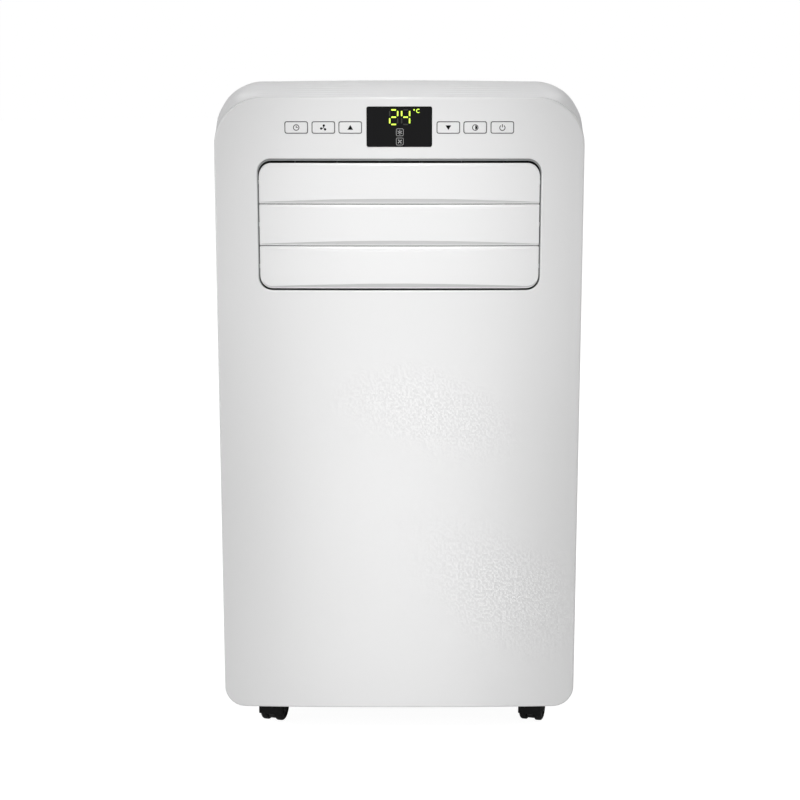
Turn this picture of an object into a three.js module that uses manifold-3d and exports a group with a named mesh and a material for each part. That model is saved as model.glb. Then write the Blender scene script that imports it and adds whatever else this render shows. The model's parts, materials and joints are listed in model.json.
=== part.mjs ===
// Portable air conditioner, modelled as an assembly of separate pieces. Millimetres, +Z up.
// The front faces -Y, +X is the right-hand side seen from the front, and the origin is on the floor under the middle of the object.
import * as THREE from "three";
import { mergeVertices } from "three/addons/utils/BufferGeometryUtils.js";
import Module from "manifold-3d";

const wasm = await Module();
wasm.setup();

// ---------------------------------------------------------------- driving dimensions
const HALF_W = 215; // half width of the casing
const Z_BASE = 38; // underside of the casing
const Z_CREST = 790.5; // highest point of the domed top
const Z_PANEL_TOP = 778.5; // top edge of the front panel
const PANEL_HALF = 214; // half width of the front panel
const Y_FRONT = -190; // front of the bowed panel, on the centre line
const BOW = 5, BOW_HALF = 213, BOW_POW = 2.4;
const Y_BACK = 178; // rear face of the casing
const Y_TAIL = 190; // rear end of the hose collar
const R_TOP = 43, R_FRONT = 57, R_BOTTOM = 25, WALL = 3; // the top corners open out from R_FRONT at the seam to R_TOP
const SEAM = 12; // depth of the front panel's rim
const GAP = 0.3; // clearance between touching pieces

const OUTLET = { x: 164.5, z0: 555, z1: 708, r: 16 }; // louvre opening in the front panel
const SLATS = [
  { name: "louver_upper", z0: 656, z1: 702.9 },
  { name: "louver_middle", z0: 607.3, z1: 655.1 },
  { name: "louver_lower", z0: 557, z1: 606.4 },
];
const PIVOT_Y = -175; // louvre pivots, behind the slats
const PIVOT_Z = [680, 631, 582];
const CRANK = 12; // crank radius of the louvre linkage
const VANE_X = [-125, -75, -25, 25, 75, 125];
const VANE_Y = -118; // vane pivots
const VANE_ARM = 26; // from vane pivot to link pin
const DISPLAY = { x: 37.7, z0: 721.5, z1: 767.7 };
const BUTTONS = [
  ["button_timer", -118.4], ["button_fan", -87.2], ["button_up", -56.3],
  ["button_down", 56.3], ["button_mode", 87.2], ["button_power", 118.4],
];
const BUTTON_Z = 743.8, BUTTON_W = 27, BUTTON_H = 14;
const FAN = { y: -10, z: 640, r: 48 }; // cross-flow wheel
const EXH = { x: 0, z: 215, r: 84 }; // condenser fan
const PORT = { z: 418, r: 66 }; // hot air port
const CASTERS = [
  ["caster_front_left", -162.5, -150, 15], ["caster_front_right", 162.5, -150, 15],
  ["caster_rear_left", -162.5, 122, 9], ["caster_rear_right", 162.5, 122, 22],
];
const WHEEL_R = 17.3, TRAIL = 21;

// ---------------------------------------------------------------- solids and booleans
function solid(geometry) {
  const g = geometry.index ? geometry.toNonIndexed() : geometry.clone();
  for (const a of Object.keys(g.attributes)) if (a !== "position") g.deleteAttribute(a);
  const m = mergeVertices(g, 1e-3);
  return new wasm.Manifold(new wasm.Mesh({
    numProp: 3,
    vertProperties: new Float32Array(m.attributes.position.array),
    triVerts: new Uint32Array(m.index.array),
  }));
}
function geometryOf(manifold) {
  const m = manifold.getMesh(), v = new Float32Array(m.numVert * 3);
  for (let i = 0; i < m.numVert; i++) v.set(m.vertProperties.subarray(i * m.numProp, i * m.numProp + 3), i * 3);
  const g = new THREE.BufferGeometry().setAttribute("position", new THREE.BufferAttribute(v, 3)).setIndex(new THREE.BufferAttribute(new Uint32Array(m.triVerts), 1));
  g.computeVertexNormals();
  return g;
}
const union = (list) => list.reduce((a, b) => a.add(b));
const cut = (a, list) => list.reduce((s, b) => s.subtract(b), a);
const V2 = (x, y) => new THREE.Vector2(x, y);
const shapeOf = (points, holes = []) => {
  const s = new THREE.Shape(points.map((p) => V2(p[0], p[1])));
  for (const h of holes) s.holes.push(new THREE.Path(h.map((p) => V2(p[0], p[1]))));
  return s;
};
// Extrusions of a plane shape along each axis. The shape is drawn in (x, z), (y, z) or (x, y).
function alongYg(shape, y0, y1, steps = 1) {
  return new THREE.ExtrudeGeometry(shape, { depth: y1 - y0, steps, bevelEnabled: false, curveSegments: 6 }).rotateX(Math.PI / 2).translate(0, y1, 0);
}
const BASIS_X = new THREE.Matrix4().makeBasis(new THREE.Vector3(0, 1, 0), new THREE.Vector3(0, 0, 1), new THREE.Vector3(1, 0, 0));
const alongY = (shape, y0, y1, steps = 1) => solid(alongYg(shape, y0, y1, steps));
const alongX = (shape, x0, x1) => solid(new THREE.ExtrudeGeometry(shape, { depth: x1 - x0, steps: 1, bevelEnabled: false, curveSegments: 6 }).applyMatrix4(BASIS_X).translate(x0, 0, 0));
const alongZ = (shape, z0, z1) => solid(new THREE.ExtrudeGeometry(shape, { depth: z1 - z0, steps: 1, bevelEnabled: false, curveSegments: 6 }).translate(0, 0, z0));
const box = (x0, x1, y0, y1, z0, z1) => solid(new THREE.BoxGeometry(x1 - x0, y1 - y0, z1 - z0).translate((x0 + x1) / 2, (y0 + y1) / 2, (z0 + z1) / 2));
// Cylinders along each axis; a flat facet faces -Z on the X and Y ones.
const cylX = (r, x0, x1, y, z, n = 12) => solid(new THREE.CylinderGeometry(r, r, x1 - x0, n).rotateY(Math.PI / n).rotateZ(-Math.PI / 2).translate((x0 + x1) / 2, y, z));
const cylY = (r, y0, y1, x, z, n = 12) => solid(new THREE.CylinderGeometry(r, r, y1 - y0, n).rotateY(Math.PI / n).translate(x, (y0 + y1) / 2, z));
const cylZ = (r, z0, z1, x, y, n = 12) => solid(new THREE.CylinderGeometry(r, r, z1 - z0, n).rotateX(Math.PI / 2).translate(x, y, (z0 + z1) / 2));
// A turned piece: profile points are (radius, height) and start and end on the axis, or close on themselves.
const turned = (profile, n) => new THREE.LatheGeometry(profile.map((p) => V2(p[0], p[1])), n);
const latheZ = (profile, n, x, y) => solid(turned(profile, n).rotateX(Math.PI / 2).translate(x, y, 0));
const latheY = (profile, n, x, z) => solid(turned(profile, n).rotateY(Math.PI / n).translate(x, 0, z));
// A pipe along a smooth curve through the given points.
const pipe = (points, r, steps, sides = 8) => {
  const ring = [];
  for (let i = 0; i < sides; i++) ring.push([r * Math.cos((2 * Math.PI * i) / sides), r * Math.sin((2 * Math.PI * i) / sides)]);
  return solid(new THREE.ExtrudeGeometry(shapeOf(ring), { steps, bevelEnabled: false, extrudePath: new THREE.CatmullRomCurve3(points.map((p) => new THREE.Vector3(...p)), false, "centripetal") }));
};
// Rounded rectangle with one radius for its upper corners and one for its lower ones.
function rounded(x0, x1, z0, z1, rTop, rBottom = rTop, nTop = 4, nBottom = nTop) {
  const p = [];
  const arc = (cx, cz, r, a0, n) => {
    if (r < 0.01) { p.push([cx, cz]); return; }
    for (let i = 0; i <= n; i++) { const a = a0 + (Math.PI / 2) * (i / n); p.push([cx + r * Math.cos(a), cz + r * Math.sin(a)]); }
  };
  arc(x1 - rBottom, z0 + rBottom, rBottom, -Math.PI / 2, nBottom);
  arc(x1 - rTop, z1 - rTop, rTop, 0, nTop);
  arc(x0 + rTop, z1 - rTop, rTop, Math.PI / 2, nTop);
  arc(x0 + rBottom, z0 + rBottom, rBottom, Math.PI, nBottom);
  return p;
}
const circle = (cx, cz, r, n) => Array.from({ length: n }, (_, i) => [cx + r * Math.cos((2 * Math.PI * (i + 0.5)) / n), cz + r * Math.sin((2 * Math.PI * (i + 0.5)) / n)]);

// ---------------------------------------------------------------- the body's surfaces
const yFront = (x) => Y_FRONT + BOW * Math.pow(Math.min(Math.abs(x) / BOW_HALF, 1), BOW_POW);
// Plan region between two curves that follow the bowed front, from off0 to off1 behind it.
function plan(off0, off1, edge = 0, xs = [0, 30, 60, 90, 120, 150, 180, 207, 213]) {
  const mirror = (list) => [...list.slice(1).map((x) => -x).reverse(), ...list];
  const rear = mirror([...xs, 235]), fore = edge ? mirror([...xs.slice(0, -1), 209.5, 211.8, 213, 213.8, 214, 235]) : rear;
  const y = (x) => {
    const a = Math.abs(x), d = Math.min(a, 207 + edge) - 207;
    return yFront(x) + (edge && a > 207 ? edge - Math.sqrt(Math.max(0, edge * edge - d * d)) : 0);
  };
  const back = typeof off1 === "number" ? rear.slice().reverse().map((x) => [x, yFront(x) + off1]) : [[235, off1.y], [-235, off1.y]];
  return shapeOf([...fore.map((x) => [x, y(x) + off0]), ...back]);
}
// Height of the top surface along the depth: it rises behind the panel, crests, and falls to the rear.
const TOP_LINE = [[-200, 775.8], [-178, 778.6], [-150, 782.1], [-120, 785.9], [-100, 788.3], [-85, 789.6], [-60, 790.3], [-30, 790.5], [0, 790.4], [40, 789.4], [80, 787.2], [120, 784], [150, 780.8], [178, 777], [200, 773.8]];
function topZ(y) {
  for (let i = 1; i < TOP_LINE.length; i++) if (y <= TOP_LINE[i][0]) {
    const [a, za] = TOP_LINE[i - 1], [b, zb] = TOP_LINE[i];
    return za + ((zb - za) * (y - a)) / (b - a);
  }
  return TOP_LINE[TOP_LINE.length - 1][1];
}
// The casing's envelope, shrunk by an inset, from y0 to y1.
function envelope(inset, y0, y1) {
  const outline = rounded(-HALF_W + inset, HALF_W - inset, Z_BASE + inset, Z_CREST - inset, R_TOP - inset, R_BOTTOM - inset, 6, 3);
  const g = alongYg(shapeOf(outline), y0, y1, 9), p = g.attributes.position;
  const r = R_TOP - inset, w = HALF_W - inset, top = Z_CREST - inset;
  for (let i = 0; i < p.count; i++) if (p.getZ(i) > 400) {
    const y = p.getY(i), dx = w - Math.abs(p.getX(i)), dz = top - p.getZ(i);
    const k = 1 + ((R_FRONT - R_TOP) / r) * Math.min(Math.max((-116 - y) / 84, 0), 1);
    if (dx < r + 0.01 && dz < r + 0.01) p.setX(i, Math.sign(p.getX(i)) * (w - dx * k)).setZ(i, top - dz * k);
    p.setZ(i, p.getZ(i) - (Z_CREST - topZ(y)));
  }
  return solid(g);
}
const rearPlan = (inset, yMax) => alongZ(shapeOf(rounded(-HALF_W + inset - 0.01, HALF_W - inset + 0.01, -240, yMax, 18, 0, 4, 1)), 0, 900);

const parts = [];
const MATERIALS = {
  shell_white: { color: 0xeeeeee, roughness: 0.38, metalness: 0 },
  louver_white: { color: 0xf2f2f2, roughness: 0.35, metalness: 0 },
  button_white: { color: 0xe9e9e9, roughness: 0.4, metalness: 0 },
  display_black: { color: 0x161616, roughness: 0.12, metalness: 0 },
  board_green: { color: 0x1c4a2a, roughness: 0.5, metalness: 0 },
  caster_black: { color: 0x141414, roughness: 0.5, metalness: 0 },
  inner_grey: { color: 0x9b9d9e, roughness: 0.6, metalness: 0 },
  inner_black: { color: 0x202224, roughness: 0.55, metalness: 0 },
  filter_grey: { color: 0x6b6f73, roughness: 0.8, metalness: 0 },
  coil_aluminium: { color: 0xc9ccd0, roughness: 0.35, metalness: 1 },
  copper: { color: 0xb8734a, roughness: 0.3, metalness: 1 },
  steel_grey: { color: 0xb4b7ba, roughness: 0.35, metalness: 1 },
  compressor_black: { color: 0x1a1a1c, roughness: 0.45, metalness: 0.3 },
  rubber_black: { color: 0x1d1d1d, roughness: 0.8, metalness: 0 },
};
const cache = {};
function add(name, manifold, slot, parent = root) {
  cache[slot] ??= new THREE.MeshStandardMaterial({ name: slot, ...MATERIALS[slot] });
  const mesh = new THREE.Mesh(geometryOf(manifold), cache[slot]);
  mesh.name = name;
  parent.add(mesh);
  return mesh;
}
const root = new THREE.Group();

// ---------------------------------------------------------------- outer shells
{
  const outline = (i) => shapeOf(rounded(-PANEL_HALF + i, PANEL_HALF - i, Z_BASE + i, Z_PANEL_TOP - i, 57 - i, R_BOTTOM - i, 6, 3));
  const skin = alongY(outline(0), -200, -150).intersect(alongZ(plan(0, SEAM - GAP, 7), 0, 900));
  const hollow = alongY(outline(WALL), -200, -140).intersect(alongZ(plan(WALL, 40), 0, 900));
  const openings = [
    alongY(shapeOf(rounded(-OUTLET.x, OUTLET.x, OUTLET.z0, OUTLET.z1, OUTLET.r, OUTLET.r, 4)), -210, -150),
    alongY(shapeOf(rounded(-DISPLAY.x, DISPLAY.x, DISPLAY.z0, DISPLAY.z1, 2.5, 2.5, 2)), -210, -150),
    ...BUTTONS.map(([, x]) => alongY(shapeOf(rounded(x - BUTTON_W / 2, x + BUTTON_W / 2, BUTTON_Z - BUTTON_H / 2, BUTTON_Z + BUTTON_H / 2, 2.2, 2.2, 2)), -210, -150)),
  ];
  add("front_panel", cut(skin.subtract(hollow), openings), "shell_white");
}
const HANDLE = { y0: -30, y1: 82, z0: 688, z1: 728, depth: 34 };
const UPPER = { x: 160, z0: 503, z1: 748 }, LOWER = { x: 155, z0: 84, z1: 334 };
const DRAIN_CAP = { x: 130, z: 452 }, DRAIN_PLUG = { x: -120, z: 56 }, GLAND = { x: 180, z: 120 };
{
  const outer = envelope(0, -200, Y_BACK).intersect(rearPlan(0, Y_BACK));
  const inner = envelope(WALL, -205, Y_BACK - WALL).intersect(rearPlan(WALL, Y_BACK - WALL));
  const front = alongZ(plan(SEAM, { y: 260 }), 0, 900);
  const handle = (s) => alongX(shapeOf(rounded(HANDLE.y0, HANDLE.y1, HANDLE.z0, HANDLE.z1, 10, 10, 3)), s > 0 ? 200 : -230, s > 0 ? 230 : -200);
  add("rear_casing", cut(outer.subtract(inner).intersect(front), [
    box(-196, 196, -205, 172, 20, 44),
    alongY(shapeOf(rounded(-UPPER.x, UPPER.x, UPPER.z0, UPPER.z1, 6, 6, 2)), 160, 200),
    alongY(shapeOf(rounded(-LOWER.x, LOWER.x, LOWER.z0, LOWER.z1, 6, 6, 2)), 160, 200),
    cylY(71.2, 160, 200, 0, PORT.z, 24),
    cylY(7.6, 160, 200, DRAIN_CAP.x, DRAIN_CAP.z, 10), cylY(6.8, 160, 200, DRAIN_PLUG.x, DRAIN_PLUG.z, 10), cylY(8, 160, 200, GLAND.x, GLAND.z, 10),
    handle(1), handle(-1),
  ]), "shell_white");
}
{
  // Base pan: a tray with a boss for each caster stem, and a plinth for the condenser.
  const outline = shapeOf(rounded(-HALF_W + WALL + GAP, HALF_W - WALL - GAP, Z_BASE + WALL + GAP, 400, 10, R_BOTTOM - WALL - GAP, 1, 3));
  const fit = alongY(outline, -190, Y_BACK - WALL - GAP).intersect(rearPlan(WALL + GAP, Y_BACK - WALL - GAP)).intersect(alongZ(plan(SEAM + 2, { y: 260 }, 0, [0, 100, 180, 213]), 0, 900));
  const tray = fit.intersect(box(-240, 240, -240, 240, 41.4, 78));
  const well = box(-206, 206, -168, 169, 46, 90);
  const raised = CASTERS.map(([, x, y]) => cylZ(13, 45, 66, x, y, 10)).concat([box(-120, 120, 122, 154, 45, 70.7)]);
  const all = union([tray.subtract(well), ...raised]).intersect(fit);
  add("base_pan", cut(all, [
    ...CASTERS.map(([, x, y]) => cylZ(14.5, 35, 43.4, x, y, 12)), ...CASTERS.map(([, x, y]) => cylZ(5.5, 40, 62.5, x, y, 10)),
    cylY(6.8, 160, 200, DRAIN_PLUG.x, DRAIN_PLUG.z, 10),
  ]), "inner_black");
}

// ---------------------------------------------------------------- controls
{
  const behind = alongZ(plan(0.2, 2.4), 0, 900);
  add("display_lens", alongY(shapeOf(rounded(-DISPLAY.x + GAP, DISPLAY.x - GAP, DISPLAY.z0 + GAP, DISPLAY.z1 - GAP, 2.2, 2.2, 2)), -200, -170).intersect(behind), "display_black");
  // Each key: a cap that fills its hole, a flange behind the panel, and a stem towards its switch.
  for (const [name, x] of BUTTONS) {
    const w = BUTTON_W / 2 - 0.5, h = BUTTON_H / 2 - 0.5;
    const cap = alongY(shapeOf(rounded(x - w, x + w, BUTTON_Z - h, BUTTON_Z + h, 1.9, 1.9, 2)), -210, -170).intersect(alongZ(plan(-0.1, 4.7), 0, 900));
    const flange = box(x - w - 1.6, x + w + 1.6, -200, -170, BUTTON_Z - h - 1.4, BUTTON_Z + h + 1.4).intersect(alongZ(plan(3.5, 4.7), 0, 900));
    const stem = cylY(2.2, yFront(x) + 4.2, -178, x, BUTTON_Z, 6);
    add(name, union([cap, flange, stem]), "button_white");
  }
  const board = union([
    box(-135, 135, -173.6, -172, 722, 768),
    box(-34, 34, -184.9, -173, 723.5, 765.5),
    ...BUTTONS.map(([, x]) => box(x - 3, x + 3, -176, -173, BUTTON_Z - 3, BUTTON_Z + 3)),
  ]);
  add("display_board", board, "board_green");
}

// ---------------------------------------------------------------- air outlet
{
  const roof = alongX(shapeOf([[-195, 714], [-195, 711.5], [-50, 711.5], [-0.5, 709.5], [33.6, 697.8], [55.8, 678.5], [63.5, 654], [63.5, 640], [66, 640], [66, 655], [58, 680], [35, 700], [0, 712], [-50, 714]]), -166, 166);
  const floor = alongX(shapeOf([[-195, 549], [-95, 549], [-60, 575.5], [-46.5, 601], [-49, 602.5], [-62, 577.5], [-96, 551.5], [-195, 551.5]]), -166, 166);
  const cheek = (x0, x1, hole) => cut(alongX(shapeOf([[-195, 549], [-95, 549], [-40, 566], [66, 590], [66, 655], [58, 680], [35, 700], [0, 712], [-50, 714], [-195, 714]]), x0, x1), [...PIVOT_Z.map((z) => cylX(3.2, x0 - 5, x1 + 5, PIVOT_Y, z, 8)), cylX(hole, x0 - 5, x1 + 5, FAN.y, FAN.z, 10)]);
  let duct = union([roof, floor, cheek(165.2, 167.7, 9), cheek(-167.7, -165.2, 6)]);
  duct = duct.intersect(alongZ(plan(WALL + GAP, { y: 260 }, 0, [0, 60, 120, 160, 172]), 0, 900));
  duct = cut(duct, VANE_X.map((x) => cylZ(2.5, 540, 720, x, VANE_Y, 6)));
  add("outlet_duct", duct, "inner_grey");
}
SLATS.forEach((s, i) => {
  const z = PIVOT_Z[i], top = i === 0 ? 14.5 : 0, bottom = i === 2 ? 14.5 : 0;
  const face = alongY(shapeOf(rounded(-162.7, 162.7, s.z0, s.z1, top, bottom, 4, 4)), -205, -165).intersect(alongZ(plan(1, 3.8), 0, 900));
  const ears = [-1, 1].map((k) => box(Math.min(k * 158, k * 162.3), Math.max(k * 158, k * 162.3), -185.5, PIVOT_Y + 4.5, z - 5, z + 5));
  const pins = [cylX(2.6, 158, 172, PIVOT_Y, z, 8), cylX(2.6, -169.5, -158, PIVOT_Y, z, 8)];
  const crank = alongX(shapeOf([[PIVOT_Y - 2.5, z - 3], [PIVOT_Y + CRANK + 3.5, z - 3], [PIVOT_Y + CRANK + 3.5, z + 3], [PIVOT_Y - 2.5, z + 3]]), 170.5, 174);
  const pin = cylX(2, 173, 178.5, PIVOT_Y + CRANK, z, 8);
  add(s.name, union([face, ...ears, ...pins, crank, pin]), "louver_white");
});
{
  const y = PIVOT_Y + CRANK;
  add("louver_link", alongX(shapeOf(rounded(y - 5, y + 5, 577, 685, 2, 2, 1), PIVOT_Z.map((z) => circle(y, z, 2.5, 8))), 174.6, 177), "inner_black");
  add("louver_motor", union([cylX(11, -190, -171.5, PIVOT_Y + 10, PIVOT_Z[0], 12), cylX(2, -172, -169.9, PIVOT_Y, PIVOT_Z[0], 8), box(-174.3, -171.8, PIVOT_Y + 5, PIVOT_Y + 15, PIVOT_Z[0] - 17, PIVOT_Z[0] + 17)]), "steel_grey");
}
VANE_X.forEach((x, i) => {
  const blade = box(x - 0.9, x + 0.9, VANE_Y - 20, VANE_Y + 18, 553, 710);
  const pins = [cylZ(1.8, 545.5, 554, x, VANE_Y, 6), cylZ(1.8, 709, 717, x, VANE_Y, 6)];
  const lug = box(x - 2.5, x + 2.5, VANE_Y + 10, VANE_Y + VANE_ARM + 2.5, 584, 588);
  const pin = cylZ(1.5, 587, 593, x, VANE_Y + VANE_ARM, 6);
  add(`vane_${i + 1}`, union([blade, ...pins, lug, pin]), "louver_white");
});
add("vane_link", alongZ(shapeOf(rounded(-130, 130, VANE_Y + VANE_ARM - 3.5, VANE_Y + VANE_ARM + 3.5, 2, 2, 1), VANE_X.map((x) => circle(x, VANE_Y + VANE_ARM, 2, 6))), 588.4, 590.8), "inner_black");
{
  // Cross-flow wheel: three discs carrying a ring of blades, on a shaft.
  const list = [cylX(FAN.r, -156, -153, FAN.y, FAN.z, 14), cylX(FAN.r, -1.5, 1.5, FAN.y, FAN.z, 14), cylX(FAN.r, 153, 156, FAN.y, FAN.z, 14), cylX(4, -170, 168.5, FAN.y, FAN.z, 8)];
  for (let i = 0; i < 12; i++) {
    const g = new THREE.BoxGeometry(309, 1.6, 13).translate(0, 0, FAN.r - 8).applyMatrix4(new THREE.Matrix4().makeTranslation(0, 4, 0)).rotateX((2 * Math.PI * i) / 12).translate(0, FAN.y, FAN.z);
    list.push(solid(g));
  }
  add("crossflow_wheel", union(list), "inner_black");
  add("crossflow_motor", union([cylX(36, 171.5, 204, FAN.y, FAN.z, 16), cylX(30, 168.2, 172, FAN.y, FAN.z, 16)]).subtract(cylX(5, 160, 169.5, FAN.y, FAN.z, 8)), "steel_grey");
}

// ---------------------------------------------------------------- handles, grilles, filters, ports
for (const [name, s] of [["handle_left", -1], ["handle_right", 1]]) {
  const shell = alongX(shapeOf(rounded(HANDLE.y0 + GAP, HANDLE.y1 - GAP, HANDLE.z0 + GAP, HANDLE.z1 - GAP, 9.7, 9.7, 3)), s > 0 ? 215 - HANDLE.depth : -214.9, s > 0 ? 214.9 : -(215 - HANDLE.depth));
  const flange = alongX(shapeOf(rounded(HANDLE.y0 - 5, HANDLE.y1 + 5, HANDLE.z0 - 5, HANDLE.z1 + 3, 12, 12, 3)), s > 0 ? 209.6 : -211.6, s > 0 ? 211.6 : -209.6);
  const hollow = alongX(shapeOf(rounded(HANDLE.y0 + 2.8, HANDLE.y1 - 2.8, HANDLE.z0 + 2.8, HANDLE.z1 - 2.8, 7.4, 7.4, 3)), s > 0 ? 215 - HANDLE.depth + 2.5 : -220, s > 0 ? 220 : -(215 - HANDLE.depth + 2.5));
  add(name, shell.add(flange).subtract(hollow), "shell_white");
}
function grille(x, z0, z1, rows) {
  const holes = [], pitch = (z1 - z0 - 24) / rows;
  for (let r = 0; r < rows; r++) for (const s of [-1, 1]) {
    const a = s < 0 ? -x + 13 : 4, b = s < 0 ? -4 : x - 13;
    holes.push(box(a, b, Y_BACK - 6, Y_BACK + 3, z0 + 12 + r * pitch + 3, z0 + 12 + (r + 1) * pitch - 3));
  }
  const plate = alongY(shapeOf(rounded(-x + GAP, x - GAP, z0 + GAP, z1 - GAP, 5.7, 5.7, 2)), Y_BACK - 3.6, Y_BACK);
  const rim = alongY(shapeOf(rounded(-x + 2, x - 2, z0 + 2, z1 - 2, 4, 4, 1)), Y_BACK - 16, Y_BACK - 2).subtract(box(-x + 5, x - 5, Y_BACK - 20, Y_BACK + 3, z0 + 5, z1 - 5));
  return cut(plate, holes).add(rim);
}
function filter(x, z0, z1) {
  const frame = alongY(shapeOf(rounded(-x + 6, x - 6, z0 + 6, z1 - 6, 2, 2, 1), [rounded(-x + 14, x - 14, z0 + 14, z1 - 14, 0, 0)]), Y_BACK - 13, Y_BACK - 7);
  const web = box(-x + 10, x - 10, Y_BACK - 10.6, Y_BACK - 9.8, z0 + 10, z1 - 10);
  return union([frame, web, box(-2, 2, Y_BACK - 12.5, Y_BACK - 8, z0 + 10, z1 - 10), box(-14, 14, Y_BACK - 9, Y_BACK - 4.2, z1 - 14, z1 - 7)]);
}
add("upper_grille", grille(UPPER.x, UPPER.z0, UPPER.z1, 10), "shell_white");
add("upper_filter", filter(UPPER.x, UPPER.z0, UPPER.z1), "filter_grey");
add("lower_grille", grille(LOWER.x, LOWER.z0, LOWER.z1, 10), "shell_white");
add("lower_filter", filter(LOWER.x, LOWER.z0, LOWER.z1), "filter_grey");
// Collar that takes the exhaust hose: a flange against the casing, a spigot behind, and a socket inside.
add("exhaust_collar", latheY([[PORT.r, 172.2], [70.2, 172.2], [70.2, Y_BACK + GAP], [79, Y_BACK + GAP], [79, 182.5], [71, 184], [71, Y_TAIL], [PORT.r, Y_TAIL], [PORT.r, 172.2]], 24, 0, PORT.z), "inner_black");
add("drain_cap", union([cylY(11, Y_BACK + GAP, 188, DRAIN_CAP.x, DRAIN_CAP.z, 12), cylY(7, 168, Y_BACK + 1, DRAIN_CAP.x, DRAIN_CAP.z, 10)]), "inner_black");
add("drain_plug", union([cylY(9, Y_BACK + GAP, 184, DRAIN_PLUG.x, DRAIN_PLUG.z, 12), cylY(6, 160, Y_BACK + 1, DRAIN_PLUG.x, DRAIN_PLUG.z, 10)]), "rubber_black");
add("cord_gland", latheY([[3.6, 166], [7.3, 166], [7.3, Y_BACK + GAP], [11.5, Y_BACK + GAP], [10, 183], [3.6, 183], [3.6, 166]], 12, GLAND.x, GLAND.z), "rubber_black");

// ---------------------------------------------------------------- cooling side
function coil(x, y0, y1, z0, z1, rows) {
  const list = [box(-x, x, y0, y1, z0 + 1, z1 - 1), box(-x - 2, -x + 0.5, y0 - 2, y1 + 2, z0, z1), box(x - 0.5, x + 2, y0 - 2, y1 + 2, z0, z1)];
  const pitch = (z1 - z0) / rows;
  for (let r = 0; r < rows; r++) for (const s of [-1, 1]) {
    const z = z0 + (r + 0.5) * pitch, g = new THREE.BoxGeometry(13, 7, pitch * 0.72).translate(s * (x + 7.5), (y0 + y1) / 2 + (r % 2 ? 9 : -9), z);
    list.push(solid(g));
  }
  return union(list);
}
add("evaporator", coil(152, 95, 135, 492.4, 742, 7), "coil_aluminium");
{
  const plate = alongZ(shapeOf(rounded(-211, 211, -150, 171, 14, 2, 2, 1)), 489, 492);
  const rim = box(-175, 175, 84, 146, 491, 504).subtract(box(-172.5, 172.5, 86.5, 143.5, 492, 510));
  add("drip_tray", cut(plate.add(rim), [cylZ(9, 480, 500, 190, 112, 10)]), "inner_grey");
}
// ---------------------------------------------------------------- hot side
add("condenser", coil(158, 118, 158, 71, 335, 7), "coil_aluminium");
{
  // Scroll around the condenser fan, and the elbow that takes its air to the rear port.
  const scroll = (o, y0, y1) => union([
    cylY(100 - o, y0, y1, EXH.x, EXH.z, 24),
    alongY(shapeOf([[-100 + o, 215], [100 - o, 215], [97 - o, 250], [75 - o, 350], [-75 + o, 350], [-97 + o, 250]]), y0, y1),
  ]);
  const body = scroll(0, 5, 95).add(box(-75, 75, 5, 171.5, 345, 486));
  const hollow = scroll(2.5, 7.5, 92.5).add(box(-72.5, 72.5, 7.5, 169, 340, 483.5));
  const feet = [box(-90, -70, 10, 90, 46.4, 170), box(70, 90, 10, 90, 46.4, 170)];
  add("exhaust_housing", cut(union([body, ...feet]), [hollow, cylY(66, 80, 110, EXH.x, EXH.z, 20), cylY(40, 0, 20, EXH.x, EXH.z, 16), cylY(PORT.r, 160, 180, 0, PORT.z, 20)]), "inner_grey");
  const blades = [cylY(EXH.r, 12, 15, EXH.x, EXH.z, 16), cylY(EXH.r, 74, 77, EXH.x, EXH.z, 16).subtract(cylY(60, 70, 80, EXH.x, EXH.z, 16)), cylY(14, 12, 50, EXH.x, EXH.z, 10)];
  for (let i = 0; i < 12; i++) blades.push(solid(new THREE.BoxGeometry(2, 61, 22).translate(7, 44.5, EXH.r - 13).rotateY((2 * Math.PI * i) / 12).translate(EXH.x, 0, EXH.z)));
  add("exhaust_wheel", union(blades).subtract(cylY(4.4, 5, 45, EXH.x, EXH.z, 10)), "inner_black");
  add("exhaust_motor", union([cylY(38, -42, 2, EXH.x, EXH.z, 16), cylY(4, 0, 42, EXH.x, EXH.z, 8), box(-50, 50, 1.8, 4.7, EXH.z - 10, EXH.z + 10)]), "steel_grey");
}
{
  const c = latheZ([[0, 55], [30, 55], [50, 62], [58, 75], [58, 255], [50, 275], [28, 286], [0, 288]], 16, -95, -95);
  const feet = [0, 1, 2].map((i) => { const a = Math.PI / 6 + (i * 2 * Math.PI) / 3; return box(-95 + 52 * Math.cos(a) - 12, -95 + 52 * Math.cos(a) + 12, -95 + 52 * Math.sin(a) - 12, -95 + 52 * Math.sin(a) + 12, 46.4, 66); });
  const accumulator = latheZ([[0, 108], [14, 112], [18, 120], [18, 228], [12, 238], [0, 240]], 12, -20, -122);
  add("compressor", union([c, ...feet, accumulator, box(-60, -20, -118, -106, 160, 176)]), "compressor_black");
}
add("suction_pipe", pipe([[-20, -122, 240.5], [-20, -122, 262], [10, -128, 300], [90, -130, 360], [170, -100, 430], [192, -20, 452], [190, 80, 462], [190, 110, 478], [190, 112, 505], [190, 112, 522], [184, 110, 535], [168.5, 106, 538]], 4.5, 26, 6), "copper");
add("discharge_pipe", pipe([[-95, -95, 288.5], [-95, -95, 302], [-110, -85, 316], [-150, -55, 322], [-180, 0, 315], [-186, 80, 300], [-187, 130, 285], [-182, 145, 272], [-174.8, 147, 262]], 4, 20, 6), "copper");
add("control_box", union([box(-200, -70, -152, -104, 345, 488.6), box(-204, -66, -155, -152, 341, 488.6)]), "steel_grey");
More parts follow.
